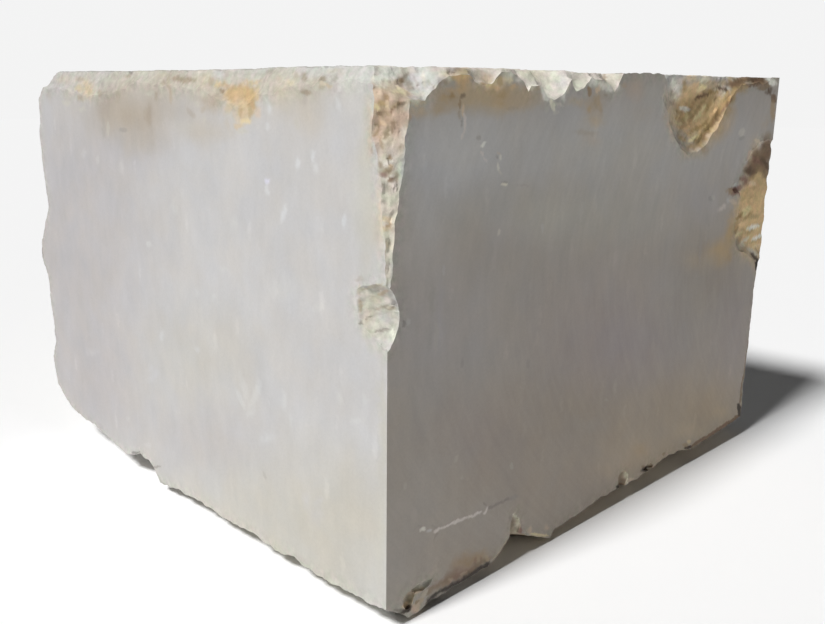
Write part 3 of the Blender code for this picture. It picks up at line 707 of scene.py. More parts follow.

# Thin white edges of the lobes on the sawn stone: pale stone, and painted light where the sunlit
# lobes reach over the shaded sawn face.
LOBE_EDGES_AND_PAINTED_LIGHT = (
    (449, 76, 5, 7, 0, "ivory", 0.85, 0.8),
    (508, 76, 9, 8, 0, "ivory", 0.85, 0.8),
    (514, 72, 5, 7, 0, "chalk", 0.85, 0.8),
    (520, 80, 6, 5, 0, "chalk", 0.8, 0.8),
    (530, 88, 5, 4, 0, "ivory", 0.8, 0.8),
    (538, 83, 4, 5, 0, "ivory", 0.8, 0.8),
    (546, 94, 3, 6, 0, "chalk", 0.85, 0.7),
    (551, 99, 6, 4, 0, "chalk", 0.85, 0.7),
    (569, 86, 4, 8, 0, "ivory", 0.85, 0.8),
    (562, 94, 6, 7, 0, "chalk", 0.9, 0.7),
    (544, 90, 4, 7, 0, "chalk", 0.8, 0.8),
    (594, 79, 7, 8, 0, "chalk", 0.9, 0.7),
    (602, 85, 6, 6, 0, "ivory", 0.85, 0.8),
    (609, 87, 6, 7, 0, "chalk", 0.9, 0.7),
    (601, 86, 5, 5, 0, "chalk", 0.8, 0.7),
    (616, 84, 5, 7, 0, "chalk", 0.85, 0.7),
    (430, 82, 4, 5, 0, "oat", 0.8, 0.7),
    (412, 99, 8, 3.4, 0, "ivory", 0.9, 0.7),
    (405, 99, 3, 4, 0, "biscuit", 0.8, 0.7),
)

# Tails of the lobes and the brown below them.
LOBE_TAILS = (
    (553, 105, 2.6, 7, 10, "ivory", 0.85, 0.7),
    (546, 97, 3, 5, 0, "chalk", 0.6, 0.7),
    (559, 104, 6, 1.6, -15, "bone", 0.6, 0.7),
    (547, 107, 2.4, 5, 0, "limestone", 0.5, 0.8),
    (556, 112, 4, 1.4, 30, "bone", 0.4, 0.8),
    (589, 90, 2.4, 6, 0, "buff", 0.9, 0.6),
    (596, 99, 7, 12, 0, "bronze", 0.6, 0.9),
    (595, 104, 8, 1.6, -60, "tan", 0.45, 0.9),
    (606, 96, 4.5, 5, 0, "umber", 0.5, 0.9),
    (597, 89, 4, 4, 0, "butter", 0.7, 0.7),
    (614, 90, 1.8, 6, 10, "drab", 0.7, 0.7),
    (588, 108, 4, 5, 0, "amber", 0.6, 0.8),
    (601, 109, 4, 7, 0, "bronze", 0.45, 0.9),
    (596, 120, 12, 8, 0, "flax", 0.6, 0.9),
    (576, 100, 14, 5, 0, "flax", 0.6, 0.9),
    (586, 132, 14, 3, 0, "tan", 0.4, 0.9),
    (624, 85, 3, 3.5, 0, "fawn", 0.6, 0.7),
    (634, 92, 14, 18, 0, "biscuit", 0.6, 1),
    (654, 92, 16, 18, 0, "limestone", 0.6, 1),
    (645, 115, 20, 12, 0, "oat", 0.5, 1),
    (592, 138, 12, 8, 0, "biscuit", 0.3, 1),
)

# The fluted hollow: ochre ground.
FLUTED_GROUND = (
    (699, 112, 36, 38, 0, "ochre", 0.95, 0.4),
    (675, 86, 4, 12, 14, "chalk", 0.85, 0.7),
    (669, 80, 4, 5, 0, "pearl", 0.75, 0.7),
    (667, 95, 4, 8, 0, "sand", 0.6, 0.8),
    (681, 82, 3.5, 6, 0, "shell", 0.8, 0.7),
    (674, 99, 5, 4, 0, "ivory", 0.8, 0.7),
    (672, 116, 6, 18, 0, "butter", 0.7, 0.8),
    (690, 78, 8, 4, 0, "butter", 0.8, 0.7),
    (704, 80, 6, 4, 0, "ivory", 0.8, 0.7),
    (712, 83, 6, 3, 0, "flax", 0.7, 0.7),
    (687, 92, 5, 9, 0, "honey", 0.7, 0.8),
    (695, 87, 7, 5, 0, "honey", 0.7, 0.8),
    (684, 86, 2.4, 7, 0, "olive", 0.7, 0.7),
    (703, 88, 6, 3, 10, "straw", 0.8, 0.7),
    (715, 86, 4, 2.4, 0, "butter", 0.7, 0.7),
    (722, 82, 8, 5, 0, "bronze", 0.7, 0.8),
    (735, 84, 9, 9, 0, "olive", 0.8, 0.7),
    (730, 80, 2.4, 8, 0, "amber", 0.6, 0.8),
    (729, 97, 7, 9, -40, "olive", 0.8, 0.7),
    (724, 112, 9, 14, -50, "olive", 0.7, 0.8),
)

# The fluted hollow: its crack, ridges and toe.
FLUTED_DETAILS = (
    (704, 95, 7, 1.8, 15, "earth", 0.95, 0.5),
    (698, 97, 4, 2, 30, "earth", 0.8, 0.6),
    (722, 89, 7, 2, -20, "bark", 0.9, 0.5),
    (713, 92, 6, 2.2, 0, "olive", 0.8, 0.7),
    (714, 98, 8, 3, 5, "amber", 0.8, 0.7),
    (723, 98, 10, 1.4, 55, "ochre", 0.7, 0.7),
    (719, 108, 9, 1.4, 55, "amber", 0.7, 0.7),
    (727, 104, 8, 1.4, 55, "liver", 0.6, 0.7),
    (713, 113, 9, 2, 52, "honey", 0.85, 0.6),
    (708, 107, 8, 1.6, 62, "olive", 0.75, 0.7),
    (717, 117, 8, 1.4, 52, "liver", 0.7, 0.7),
    (701, 112, 9, 1.8, 60, "straw", 0.8, 0.7),
    (696, 118, 7, 1.6, 60, "straw", 0.7, 0.7),
    (690, 117, 2.4, 7, 0, "amber", 0.75, 0.7),
    (685, 109, 6, 2.6, -10, "chalk", 0.9, 0.6),
    (686, 117, 1.8, 7, 0, "straw", 0.6, 0.7),
    (679, 118, 6, 3, 0, "ochre", 0.7, 0.7),
    (678, 124, 5, 1.8, 0, "straw", 0.6, 0.8),
    (704, 124, 10, 1.6, 48, "olive", 0.7, 0.7),
    (712, 124, 8, 1.6, 52, "earth", 0.7, 0.7),
    (708, 128, 8, 1.6, 50, "ochre", 0.6, 0.7),
    (704, 134, 10, 2.2, 45, "ochre", 0.8, 0.7),
    (695, 139, 7, 2, 25, "straw", 0.85, 0.6),
    (697, 129, 11, 1.8, 35, "olive", 0.7, 0.7),
    (684, 128, 8, 2.4, 0, "honey", 0.6, 0.8),
    (682, 139, 5, 2.4, -30, "amber", 0.75, 0.7),
    (688, 134, 6, 1.6, -30, "honey", 0.6, 0.8),
    (692, 149, 13, 6, 0, "ochre", 0.8, 0.8),
    (704, 148, 7, 8, 0, "bronze", 0.7, 0.8),
    (694, 156, 20, 6, 0, "flax", 0.5, 1),
    (720, 130, 7, 9, -50, "amber", 0.5, 0.9),
)

# The fluted hollow: its sunlit flank.
FLUTED_FLANK = (
    *stroke((
        (737, 86), (730, 94), (722, 106), (714, 120), (706, 133), (697, 148)
    ), 4.5, "olive", 0.85, 0.6),
    *stroke(((729, 90), (722, 101), (713, 115)), 1.6, "ochre", 0.6, 0.6),
    *stroke(((718, 116), (710, 129), (701, 142)), 1.4, "earth", 0.6, 0.6),
    *stroke(((731, 98), (724, 110), (716, 124)), 1.2, "earth", 0.6, 0.6),
)

# Dark stains by the top far corner.
TOP_FAR_STAINS = (
    (748, 83, 28, 6, 0, "earth", 0.98, 0.4),
    (756, 79, 13, 5, 0, "bark", 0.95, 0.5),
    (740, 90, 12, 5, 0, "bronze", 0.7, 0.9),
    (743, 78, 6, 3, 0, "earth", 0.85, 0.6),
    (749, 83, 4, 2.4, 0, "clay", 0.7, 0.7),
    (744, 87, 6, 3, 0, "amber", 0.6, 0.8),
    (764, 87, 9, 3, 20, "umber", 0.9, 0.6),
    (771, 91, 6, 5, -40, "bark", 0.95, 0.5),
    (774, 99, 2.6, 5, 0, "earth", 0.9, 0.6),
    (774, 81, 7, 5, -30, "chalk", 0.98, 0.4),
    (773, 112, 3, 13, 0, "bronze", 0.7, 0.8),
    (766, 124, 5, 10, 0, "fawn", 0.5, 0.9),
    (768, 136, 6, 5, 0, "tan", 0.6, 0.8),
)

# The far corner hollow: ground.
FAR_HOLLOW_GROUND = (
    (757, 205, 16, 66, 0, "ochre", 0.95, 0.3),
    (748, 222, 17, 40, 0, "honey", 0.95, 0.4),
    (768, 150, 8, 16, 0, "earth", 0.95, 0.5),
    (760, 158, 10, 14, 40, "earth", 0.95, 0.5),
    (752, 168, 11, 11, 45, "earth", 0.95, 0.5),
    (744, 182, 7, 8, 50, "liver", 0.9, 0.6),
    (736, 191, 9, 4, 10, "liver", 0.9, 0.5),
    (764, 172, 6, 12, 0, "earth", 0.8, 0.7),
)

# The far corner hollow: dark upper half.
FAR_HOLLOW_UPPER_HALF = (
    (749, 170, 7, 6, 45, "bark", 0.8, 0.7),
    (757, 160, 3, 10, 50, "liver", 0.6, 0.8),
    (766, 165, 3, 9, 30, "bark", 0.8, 0.7),
    (758, 141, 4, 2, -30, "sand", 0.8, 0.7),
    (749, 154, 2.2, 6, -20, "biscuit", 0.75, 0.7),
    (741, 184, 3.4, 2.6, 0, "sand", 0.7, 0.7),
    (741, 176, 3, 3, 0, "clay", 0.5, 0.8),
    (732, 189, 4, 2.4, 0, "liver", 0.7, 0.7),
)

# The far corner hollow: ochre lower half.
FAR_HOLLOW_LOWER_HALF = (
    (756, 200, 11, 13, 0, "honey", 0.9, 0.6),
    (762, 205, 5, 9, 0, "honey", 0.7, 0.7),
    (752, 184, 5, 2.4, -20, "butter", 0.8, 0.7),
    (757, 176, 2.4, 5, -40, "honey", 0.7, 0.7),
    (761, 183, 3, 6, -40, "ochre", 0.6, 0.7),
    (744, 195, 5, 3, 0, "honey", 0.7, 0.7),
    (745, 211, 8, 3, 45, "straw", 0.8, 0.7),
    (737, 205, 4, 4, 0, "flax", 0.6, 0.8),
    (739, 216, 6, 1.8, 50, "olive", 0.85, 0.6),
    (747, 216, 6, 1.6, 45, "olive", 0.7, 0.7),
    (754, 217, 6, 2.4, 10, "bronze", 0.7, 0.7),
    (736, 227, 2.4, 8, -10, "olive", 0.8, 0.7),
    (742, 224, 5, 2, 45, "honey", 0.7, 0.7),
    (739, 234, 5, 1.6, 50, "straw", 0.75, 0.7),
    (753, 227, 8, 1.8, 15, "chalk", 0.85, 0.6),
    (750, 231, 7, 1.4, 25, "amber", 0.7, 0.7),
    (745, 240, 6, 1.6, 40, "ivory", 0.7, 0.7),
    (758, 237, 8, 1.8, 20, "chalk", 0.85, 0.6),
    (755, 241, 8, 1.2, 20, "bronze", 0.6, 0.7),
    (741, 246, 5, 3, 0, "ivory", 0.6, 0.8),
    (757, 246, 6, 1.6, 10, "butter", 0.6, 0.7),
    (752, 252, 7, 2.4, -30, "bone", 0.8, 0.7),
    (757, 251, 5, 1.2, -40, "umber", 0.7, 0.7),
    (755, 258, 7, 2, -45, "char", 0.9, 0.6),
    (757, 265, 2, 6, 0, "soot", 0.98, 0.5),
)

# Bruise and stains beside the far corner hollow.
FAR_HOLLOW_BRUISES = (
    (722, 208, 7, 3.4, 30, "shell", 0.6, 0.9),
    (730, 191, 5, 4, 0, "buff", 0.7, 0.8),
    (728, 200, 3, 3, 30, "pearl", 0.6, 0.7),
    (733, 201, 4, 2.4, -20, "sand", 0.6, 0.7),
    (731, 213, 2, 4, 0, "taupe", 0.6, 0.7),
    (729, 232, 8, 24, -8, "amber", 0.95, 0.8),
    (720, 252, 18, 18, 0, "amber", 0.9, 0.9),
    (728, 258, 6, 7, 0, "bronze", 0.5, 0.8),
    (737, 252, 7, 9, 0, "tan", 0.6, 0.8),
    (700, 260, 28, 16, 0, "fawn", 0.6, 1),
    (713, 198, 2, 3, 0, "limestone", 0.6, 0.7),
    (710, 199, 1.6, 3, 0, "slate", 0.5, 0.8),
    (742, 132, 2.6, 5, 0, "bone", 0.6, 0.7),
    (742, 138, 2.4, 2, 0, "dove", 0.6, 0.7),
    (707, 225, 2, 16, 0, "dove", 0.4, 0.9),
    (700, 245, 2, 20, 0, "dove", 0.4, 0.9),
)

# Crack and small chips in the upper side.
SIDE_CRACK = (
    *stroke((
        (464.5, 112), (465.5, 121), (466, 127), (463, 133), (460.5, 138)
    ), 1.5, "shell", 0.75, 0.8),
    *stroke(((462, 118), (462, 126)), 1.1, "slate", 0.6, 0.8),
    (480, 139, 2.2, 3, 0, "dove", 0.6, 0.8),
    (484, 146, 1.6, 3.4, -30, "chalk", 0.8, 0.7),
    (482, 154, 1.3, 3, 20, "shell", 0.6, 0.7),
    (485, 160, 1.4, 3, 30, "shell", 0.6, 0.7),
    (498, 153, 3, 1.3, -10, "sand", 0.6, 0.7),
    (501, 157, 1.6, 2.6, -10, "plaster", 0.7, 0.7),
    (497, 157, 1.6, 1.3, 0, "slate", 0.5, 0.7),
    (498, 166, 1.3, 4.5, 5, "plaster", 0.7, 0.7),
    (500, 171, 1.2, 3, 30, "bone", 0.5, 0.8),
    (504, 184.6, 4, 1.3, 0, "ivory", 0.8, 0.7),
    (505, 182.2, 3.6, 1, 0, "slate", 0.6, 0.7),
    (522, 184, 7, 1, 0, "mauve", 0.4, 0.9),
    (499, 232, 1.5, 4, -20, "bone", 0.6, 0.8),
    (543, 228, 1.4, 5, 0, "pearl", 0.4, 0.8),
    (427, 163, 1.6, 9, -15, "silver", 0.4, 0.9),
    (440, 168, 1.6, 9, -15, "silver", 0.3, 0.9),
    (403, 323, 1.8, 3, 0, "flint", 0.6, 0.7),
    (407, 322, 2, 3.6, 0, "pearl", 0.5, 0.8),
)

# A bruised saw line in the near half of the side.
SIDE_SAW_LINE = (
    (432, 300, 4, 26, 0, "dove", 0.7, 0.9),
    (430, 340, 5, 22, 0, "dove", 0.5, 0.9),
    (440, 310, 3.4, 40, 0, "pewter", 0.5, 0.9),
    (437, 336, 2.4, 20, 0, "drab", 0.4, 0.9),
    (444, 270, 1.8, 5, 0, "ash", 0.5, 0.8),
    (463, 362, 1.6, 5, -10, "slate", 0.4, 0.9),
    (528, 364, 1.6, 5, 0, "slate", 0.4, 0.9),
    (532, 366, 1.2, 5, 0, "mushroom", 0.4, 0.9),
    (405, 487, 2, 4, -10, "limestone", 0.5, 0.8),
    (456, 459, 2, 4, -20, "drab", 0.4, 0.8),
    (462, 478, 2, 2, 0, "drab", 0.4, 0.8),
    (512, 466, 1.6, 4, 0, "drab", 0.4, 0.8),
    (606, 400, 3, 1.6, 0, "oat", 0.3, 0.8),
)

# The scratch across the side.
SIDE_SCRATCH = (
    *stroke(((420.5, 531), (423.5, 528), (424.5, 531)), 1.7, "plaster", 0.8, 0.8),
    *stroke(((427, 531.5), (432, 529.5)), 1.3, "silver", 0.7, 0.8),
    *stroke(((434.5, 533), (437, 529.5), (439, 527)), 1.7, "shell", 0.8, 0.8),
    *stroke((
        (440, 527.5), (446, 526), (451, 524), (456, 523), (461, 520.5)
    ), 1.5, "shell", 0.8, 0.8),
    *stroke((
        (461, 521), (466, 518.5), (471, 516.5), (475, 515), (478, 512.5), (481, 511.5)
    ), 1.4, "shell", 0.75, 0.8),
    *stroke(((484, 514), (485.5, 511), (487.5, 507.5)), 1.4, "shell", 0.7, 0.8),
    *stroke(((438, 532), (435, 537), (432.5, 543)), 0.9, "lead", 0.4, 0.9),
    *stroke((
        (489, 508.5), (495, 505), (501, 502.5), (507, 500), (511, 499)
    ), 1.7, "lead", 0.75, 0.9),
    *stroke(((512, 499), (517, 496)), 2.2, "slate", 0.6, 0.8),
    (484, 504, 3, 1.4, -40, "lead", 0.6, 0.8),
    (420, 526, 1.6, 1.6, 0, "slate", 0.5, 0.8),
    (434, 526, 3, 1.2, -30, "slate", 0.5, 0.8),
)

# Earth on the broken foot of the side, and painted shade in a dark band along its lower edge.
BROKEN_FOOT_EARTH_AND_SHADE = (
    (600, 500, 230, 70, 28, "fawn", 0.9, 0.6),
    (410, 602, 18, 16, 0, "sand", 0.95, 0.5),
    (403, 600, 6, 9, -15, "bone", 0.95, 0.5),
    (417, 585, 8, 6, 35, "bone", 0.95, 0.5),
    # Painted shade: the dark band where the foot curves under.
    (455, 588, 46, 10, 32, "bark", 0.95, 0.5),
    (462, 584, 34, 6, 32, "char", 0.95, 0.6),
)

# Earth on the foot of the side.
SAWN_FOOT_EARTH = (
    (466, 562, 24, 9, 26, "buff", 0.9, 0.9),
    (452, 578, 26, 6, 32, "liver", 0.85, 0.8),
    (470, 570, 18, 5, 30, "earth", 0.8, 0.8),
    (450, 576, 14, 8, 30, "umber", 0.6, 0.9),
    (482, 562, 12, 4, 22, "umber", 0.75, 0.8),
    (440, 586, 18, 6, 34, "umber", 0.7, 0.8),
    (428, 592, 10, 4, 35, "umber", 0.6, 0.8),
    (478, 556, 14, 8, 20, "bronze", 0.5, 1),
    (486, 559, 2.4, 4, 0, "flax", 0.5, 0.8),
    (474, 560, 1.4, 5, -10, "liver", 0.5, 0.8),
    (480, 560, 1.2, 4, 0, "liver", 0.5, 0.8),
    (450, 580, 3, 2, 0, "fawn", 0.5, 0.8),
    (463, 573, 4, 1.4, 35, "fawn", 0.5, 0.8),
)

# Painted shade: a dark band along the foot of the side, where its lower edge curves under.
FOOT_LIP_SHADE = (
    *stroke((
        (427, 603), (433, 598.5), (440, 593.5), (447, 588.5), (454, 584.5), (461, 580),
        (468, 576), (475, 571.5), (482, 568), (489, 565)
    ), 3.2, "soot", 0.9, 0.8),
)

# Painted shade in the undercut at the foot of the side.
FOOT_UNDERCUT_SHADE = (
    *stroke((
        (427, 604), (440, 595), (452, 587), (464, 580), (476, 572.5), (490, 566)
    ), 5, "soot", 0.98, 0.5),
)

# The near chip and its lump at the foot of the side, with painted shade in the dark recess below them.
FOOT_NEAR_CHIP = (
    (412, 596, 13, 3.6, 46, "tan", 0.9, 0.8),
    (405, 605, 5, 2.6, 50, "butter", 0.8, 0.7),
    (420, 590, 7, 2.2, 35, "biscuit", 0.8, 0.7),
    (424, 595, 8, 2.2, 52, "oat", 0.9, 0.6),
    (420, 601, 6, 2.8, 50, "fawn", 0.9, 0.6),
    (415, 607, 7, 3.6, 48, "biscuit", 0.95, 0.5),
    (417, 602, 3, 1.2, 45, "umber", 0.7, 0.7),
    # Painted shade in the recess below the chip.
    (408, 608, 6, 2.6, 42, "char", 0.95, 0.6),
    (404, 611, 7, 2.4, 12, "char", 0.95, 0.6),
    (397, 611, 5, 1.6, 8, "lead", 0.8, 0.7),
)

# Chips along the foot of the side, with painted shade in its dark notches.
FOOT_NOTCHES = (
    (511.8, 526, 1.5, 8, -8, "clay", 0.9, 0.6),
    (510.5, 519, 2, 3, 30, "lead", 0.6, 0.7),
    (517, 525, 2, 7, -8, "ivory", 0.85, 0.6),
    (520, 530, 2.6, 4, 0, "liver", 0.8, 0.7),
    (530, 531, 3, 4, 0, "biscuit", 0.6, 0.8),
    (540, 535.4, 10, 1.6, -5, "straw", 0.6, 0.6),
    (548, 528, 4, 4, 0, "biscuit", 0.6, 0.9),
    (514, 516, 2, 2.4, 0, "plaster", 0.7, 0.7),
    (620, 479, 2.6, 7, -15, "clay", 0.85, 0.6),
    (617.5, 487, 3.4, 2.2, 20, "soot", 1, 0.5),
    (621, 485, 3, 1.4, 30, "liver", 0.8, 0.6),
    (626, 478, 2, 6, 10, "ivory", 0.9, 0.6),
    (630, 480, 5, 2, 20, "sand", 0.6, 0.8),
    (646, 469, 5.4, 3.6, 35, "soot", 1, 0.5),
    (650, 467, 4, 1.6, 35, "bark", 0.95, 0.5),
    (643, 467, 2, 2, 0, "umber", 0.7, 0.7),
    (688.5, 447, 5, 1.8, 14, "char", 1, 0.5),
    (689, 441.5, 2.6, 2.2, 20, "wheat", 0.7, 0.8),
    (685, 445, 3, 2, 0, "buff", 0.6, 0.7),
    (664, 454, 2, 1.4, 40, "umber", 0.7, 0.7),
)

# Painted shade along the arris at the foot of the side, where the underside turns away, and down its
# far corner, with a few paler lines.
FOOT_ARRIS = (
    *stroke(((655, 464), (661, 459), (666, 455)), 1.1, "tan", 0.7, 0.8),
    *stroke((
        (692, 446.5), (700, 441.5), (708, 436.5), (716, 431), (724, 425.5), (732, 420),
        (738, 416)
    ), 1.8, "earth", 0.95, 0.7),
    *stroke(((738.6, 404), (739.4, 410), (739.2, 415)), 1.8, "char", 0.98, 0.6),
    *stroke(((743.5, 372), (741.5, 388), (740, 402)), 0.9, "earth", 0.8, 0.8),
    *stroke(((749.5, 334), (746.5, 352), (743.5, 372)), 0.7, "earth", 0.6, 0.8),
    *stroke(((492, 561), (497, 555), (503, 547), (508, 539)), 0.9, "fawn", 0.6, 0.8),
)

# The groups in the order in which they are laid: the face each lies on and the stone that takes it.
MARKS = (
    ("front", "all", FRONT_TONES),
    ("front", "all", FRONT_CROWN_GROUND),
    ("front", "all", FRONT_CROWN_FAR_BREAK),
    ("front", "all", FRONT_BROWN_WASH),
    ("front", "all", FRONT_OLIVE_LEDGE),
    ("front", "all", FRONT_OCHRE_PATCH),
    ("front", "all", FRONT_CROWN_MOTTLE),
    ("front", "sawn", FRONT_CORNER_BRUISES),
    ("front", "sawn", FRONT_FLECKS),
    ("front", "sawn", FRONT_DARK_MARKS),
    ("corner", "broken", NEAR_CORNER_STONE),
    ("corner", "broken", NEAR_CORNER_HOLLOWS),
    ("corner", "all", SHELL_CHIP),
    ("side", "sawn", SIDE_TONES),
    ("side", "broken", SIDE_CROWN_GROUND),
    ("side", "broken", SIDE_CROWN_WHITE_BREAK),
    ("side", "sawn", LOBE_GAPS),
    ("corner", "broken", NEAR_CORNER_HEAD),
    ("side", "sawn", LOBE_GAP_DETAILS),
    ("side", "broken", WHITE_LOBES),
    ("side", "sawn", LOBE_EDGES_AND_PAINTED_LIGHT),
    ("side", "all", LOBE_TAILS),
    ("side", "all", FLUTED_GROUND),
    ("side", "all", FLUTED_DETAILS),
    ("side", "all", FLUTED_FLANK),
    ("side", "all", TOP_FAR_STAINS),
    ("side", "all", FAR_HOLLOW_GROUND),
    ("side", "all", FAR_HOLLOW_UPPER_HALF),
    ("side", "all", FAR_HOLLOW_LOWER_HALF),
    ("side", "sawn", FAR_HOLLOW_BRUISES),
    ("side", "sawn", SIDE_CRACK),
    ("side", "sawn", SIDE_SAW_LINE),
    ("side", "sawn", SIDE_SCRATCH),
    ("side", "broken", BROKEN_FOOT_EARTH_AND_SHADE),
    ("side", "sawn", SAWN_FOOT_EARTH),
    ("side", "sawn", FOOT_LIP_SHADE),
    ("side", "broken", FOOT_UNDERCUT_SHADE),
    ("side", "all", FOOT_NEAR_CHIP),
    ("side", "all", FOOT_NOTCHES),
    ("side", "all", FOOT_ARRIS),
)

# How far a mark's edge is spread, as a share of its size. A mark this many columns wide strays
# and spreads in full, and the narrowest by the least share.
MARK_EDGE = 0.3
FULL_STRAY = 5.0
LEAST_STRAY = 0.4

# How fine the mesh is by a mark, as a share of its soft edge, and how far out in a mark and by what
# share of its own edge a face still counts as marked.
MARK_FINENESS = 0.5
MARK_MARGIN = 1.1
EDGE_MARGIN = 0.6

# How far marks stray on the block, and over what length they do so.
MARK_STRAYS = ((90 * MM, 16 * MM), (21 * MM, 9 * MM), (11 * MM, 5 * MM))


def mark_reach(mark, columns, rows):
    """How far out in a mark each place lies: 0 at its middle and 1 at its edge."""
    column, row, length, width, turn = mark[:5]
    angle = math.radians(turn)
    right = columns - column
    above = row - rows
    first = (right * math.cos(angle) + above * math.sin(angle)) / length
    second = (above * math.cos(angle) - right * math.sin(angle)) / width
    return np.hypot(first, second)


# --- the stone -----------------------------------------------------------------------------------

SAWN = 0
BROKEN = 1

# From this angle on, an edge within the broken stone is a crisp one.
CRISP = math.radians(38)


def is_sawn(face):
    """Whether a face lies in one of the block's sawn planes or its flat underside."""
    return any(all(abs(corner.co[axis] - level) < TRUE for corner in face.verts)
               for axis, level in SAWN_PLANES)


def is_shown(point):
    """Whether a place on the broken stone belongs to the front, the side or their edges."""
    return point[1] - LOW.y < EDGE_REACH or HIGH.x - point[0] < EDGE_REACH


def planes_at(corner):
    """The sawn planes that a corner lies in."""
    return {(axis, level) for axis, level in SAWN_PLANES if abs(corner.co[axis] - level) < TRUE}


def weld_short_edges(shape):
    """Weld the solid's shortest edges away, towards the corners that hold the sawn planes.

    Each pass welds edges that share no neighbours, so that the stone stays closed.
    """
    for _ in range(WELD_PASSES):
        used = set()
        merges = {}
        for edge in sorted(shape.edges, key=lambda each: each.calc_length()):
            if edge.calc_length() > SHORTEST_EDGE:
                break
            loose, held = sorted(edge.verts, key=lambda each: len(planes_at(each)))
            around = [{link.other_vert(corner) for link in corner.link_edges}
                      for corner in (loose, held)]
            everyone = around[0] | around[1]
            shared = around[0] & around[1]
            if len(shared) != 2 or everyone & used or not planes_at(loose) <= planes_at(held):
                continue
            used |= everyone
            merges[loose] = held
        if not merges:
            break
        bmesh.ops.weld_verts(shape, targetmap=merges)


def even_out(shape, surface, bend):
    """Turn the edges between nearly level faces where that makes their triangles less narrow."""
    faces = [face for face in shape.faces if face.material_index == surface]
    edges = [edge for edge in shape.edges
             if all(face.material_index == surface for face in edge.link_faces)
             and abs(edge.calc_face_angle_signed(0.0)) < bend]
    bmesh.ops.beautify_fill(shape, faces=faces, edges=edges, method="AREA")


def border_tree(shape):
    """The corners where sawn and broken stone meet in view, ready to be searched by place."""
    border = [corner.co.copy() for corner in shape.verts if is_shown(corner.co)
              and len({face.material_index for face in corner.link_faces}) == 2]
    tree = kdtree.KDTree(len(border))
    for number, place in enumerate(border):
        tree.insert(place, number)
    tree.balance()
    return tree


def edge_limits(faces, lengths, border):
    """The longest edge that each face may keep, by its stone, its border and its marks."""
    middles = np.array([face.calc_center_median() for face in faces])
    sawn = np.array([face.material_index == SAWN for face in faces])
    shown = (middles[:, 1] < LOW.y + EDGE_REACH) | (middles[:, 0] > HIGH.x - EDGE_REACH)
    near = np.hypot(NEAR.x - middles[:, 0], middles[:, 1] - NEAR.y) < 2 * EDGE_REACH
    on_broken = np.where(shown, np.where(near, CORNER_EDGE, SHOWN_EDGE), HIDDEN_EDGE)
    limits = np.where(sawn, PLAIN_EDGE, on_broken)

    on_front = sawn & (middles[:, 1] < LOW.y + TRUE)
    on_side = sawn & (middles[:, 0] > HIGH.x - TRUE)
    on_face = {"front": on_front, "side": on_side, "corner": (on_front | on_side) & near}
    for number in np.flatnonzero(on_front | on_side):
        away = border.find(middles[number])[2]
        limits[number] = min(limits[number], BORDER_EDGE + BORDER_GROWTH * away)
    columns, rows = in_frame(middles)
    for face, stone_kind, marks in MARKS:
        if stone_kind == "broken":
            continue
        chosen = np.flatnonzero(on_face[face])
        for mark in marks:
            reach = mark_reach(mark, columns[chosen], rows[chosen])
            narrow = min(mark[2], mark[3])
            width = narrow * COLUMN_SIZE
            limit = max(MARK_FINENESS * (mark[7] + MARK_EDGE) * width, FINEST_EDGE)
            inside = chosen[reach < MARK_MARGIN + EDGE_MARGIN * lengths[chosen] / width]
            limits[inside] = np.minimum(limits[inside], limit)
    return limits


def refine(shape):
    """Split the longest edges until they are as short as their place asks."""
    for _ in range(SPLIT_PASSES):
        longest_edges = [max(face.edges, key=lambda each: each.calc_length())
                         for face in shape.faces]
        coarse = [(face, edge) for face, edge in zip(shape.faces, longest_edges)
                  if edge.calc_length() > SPLIT_SLACK * FINEST_EDGE]
        lengths = np.array([edge.calc_length() for face, edge in coarse])
        limits = edge_limits([face for face, edge in coarse], lengths, border_tree(shape))
        # Each edge once and in the mesh's own order, so that every run splits the stone alike.
        long_edges = list(dict.fromkeys(
            edge for (face, edge), length, limit in zip(coarse, lengths, limits)
            if length > SPLIT_SLACK * limit))
        if not long_edges:
            break
        bmesh.ops.subdivide_edges(shape, edges=long_edges, cuts=1, use_single_edge=True)
        many_sided = [face for face in shape.faces if len(face.verts) > 3]
        bmesh.ops.triangulate(shape, faces=many_sided)
        even_out(shape, BROKEN, BROKEN_BEND)
        even_out(shape, SAWN, SAWN_BEND)


def cut_flakes(point, layers):
    """How deep some layers of flakes are cut at a place."""
    return sum(depth * (0.5 + 0.5 * flakes(point + Vector((LAYER_SHIFT * size, 0, 0)), size))
               for size, depth in layers)


def cut_grooves(point, slant):
    """How deep the slanting grooves of a hollow are cut at a place."""
    distance = point.y - NEAR.y
    across = point.z * math.cos(slant) - distance * math.sin(slant)
    along = distance * math.cos(slant) + point.z * math.sin(slant)
    return cut_flakes(Vector((point.x, across, along / GROOVE_STRETCH)), GROOVE_FLAKES), across


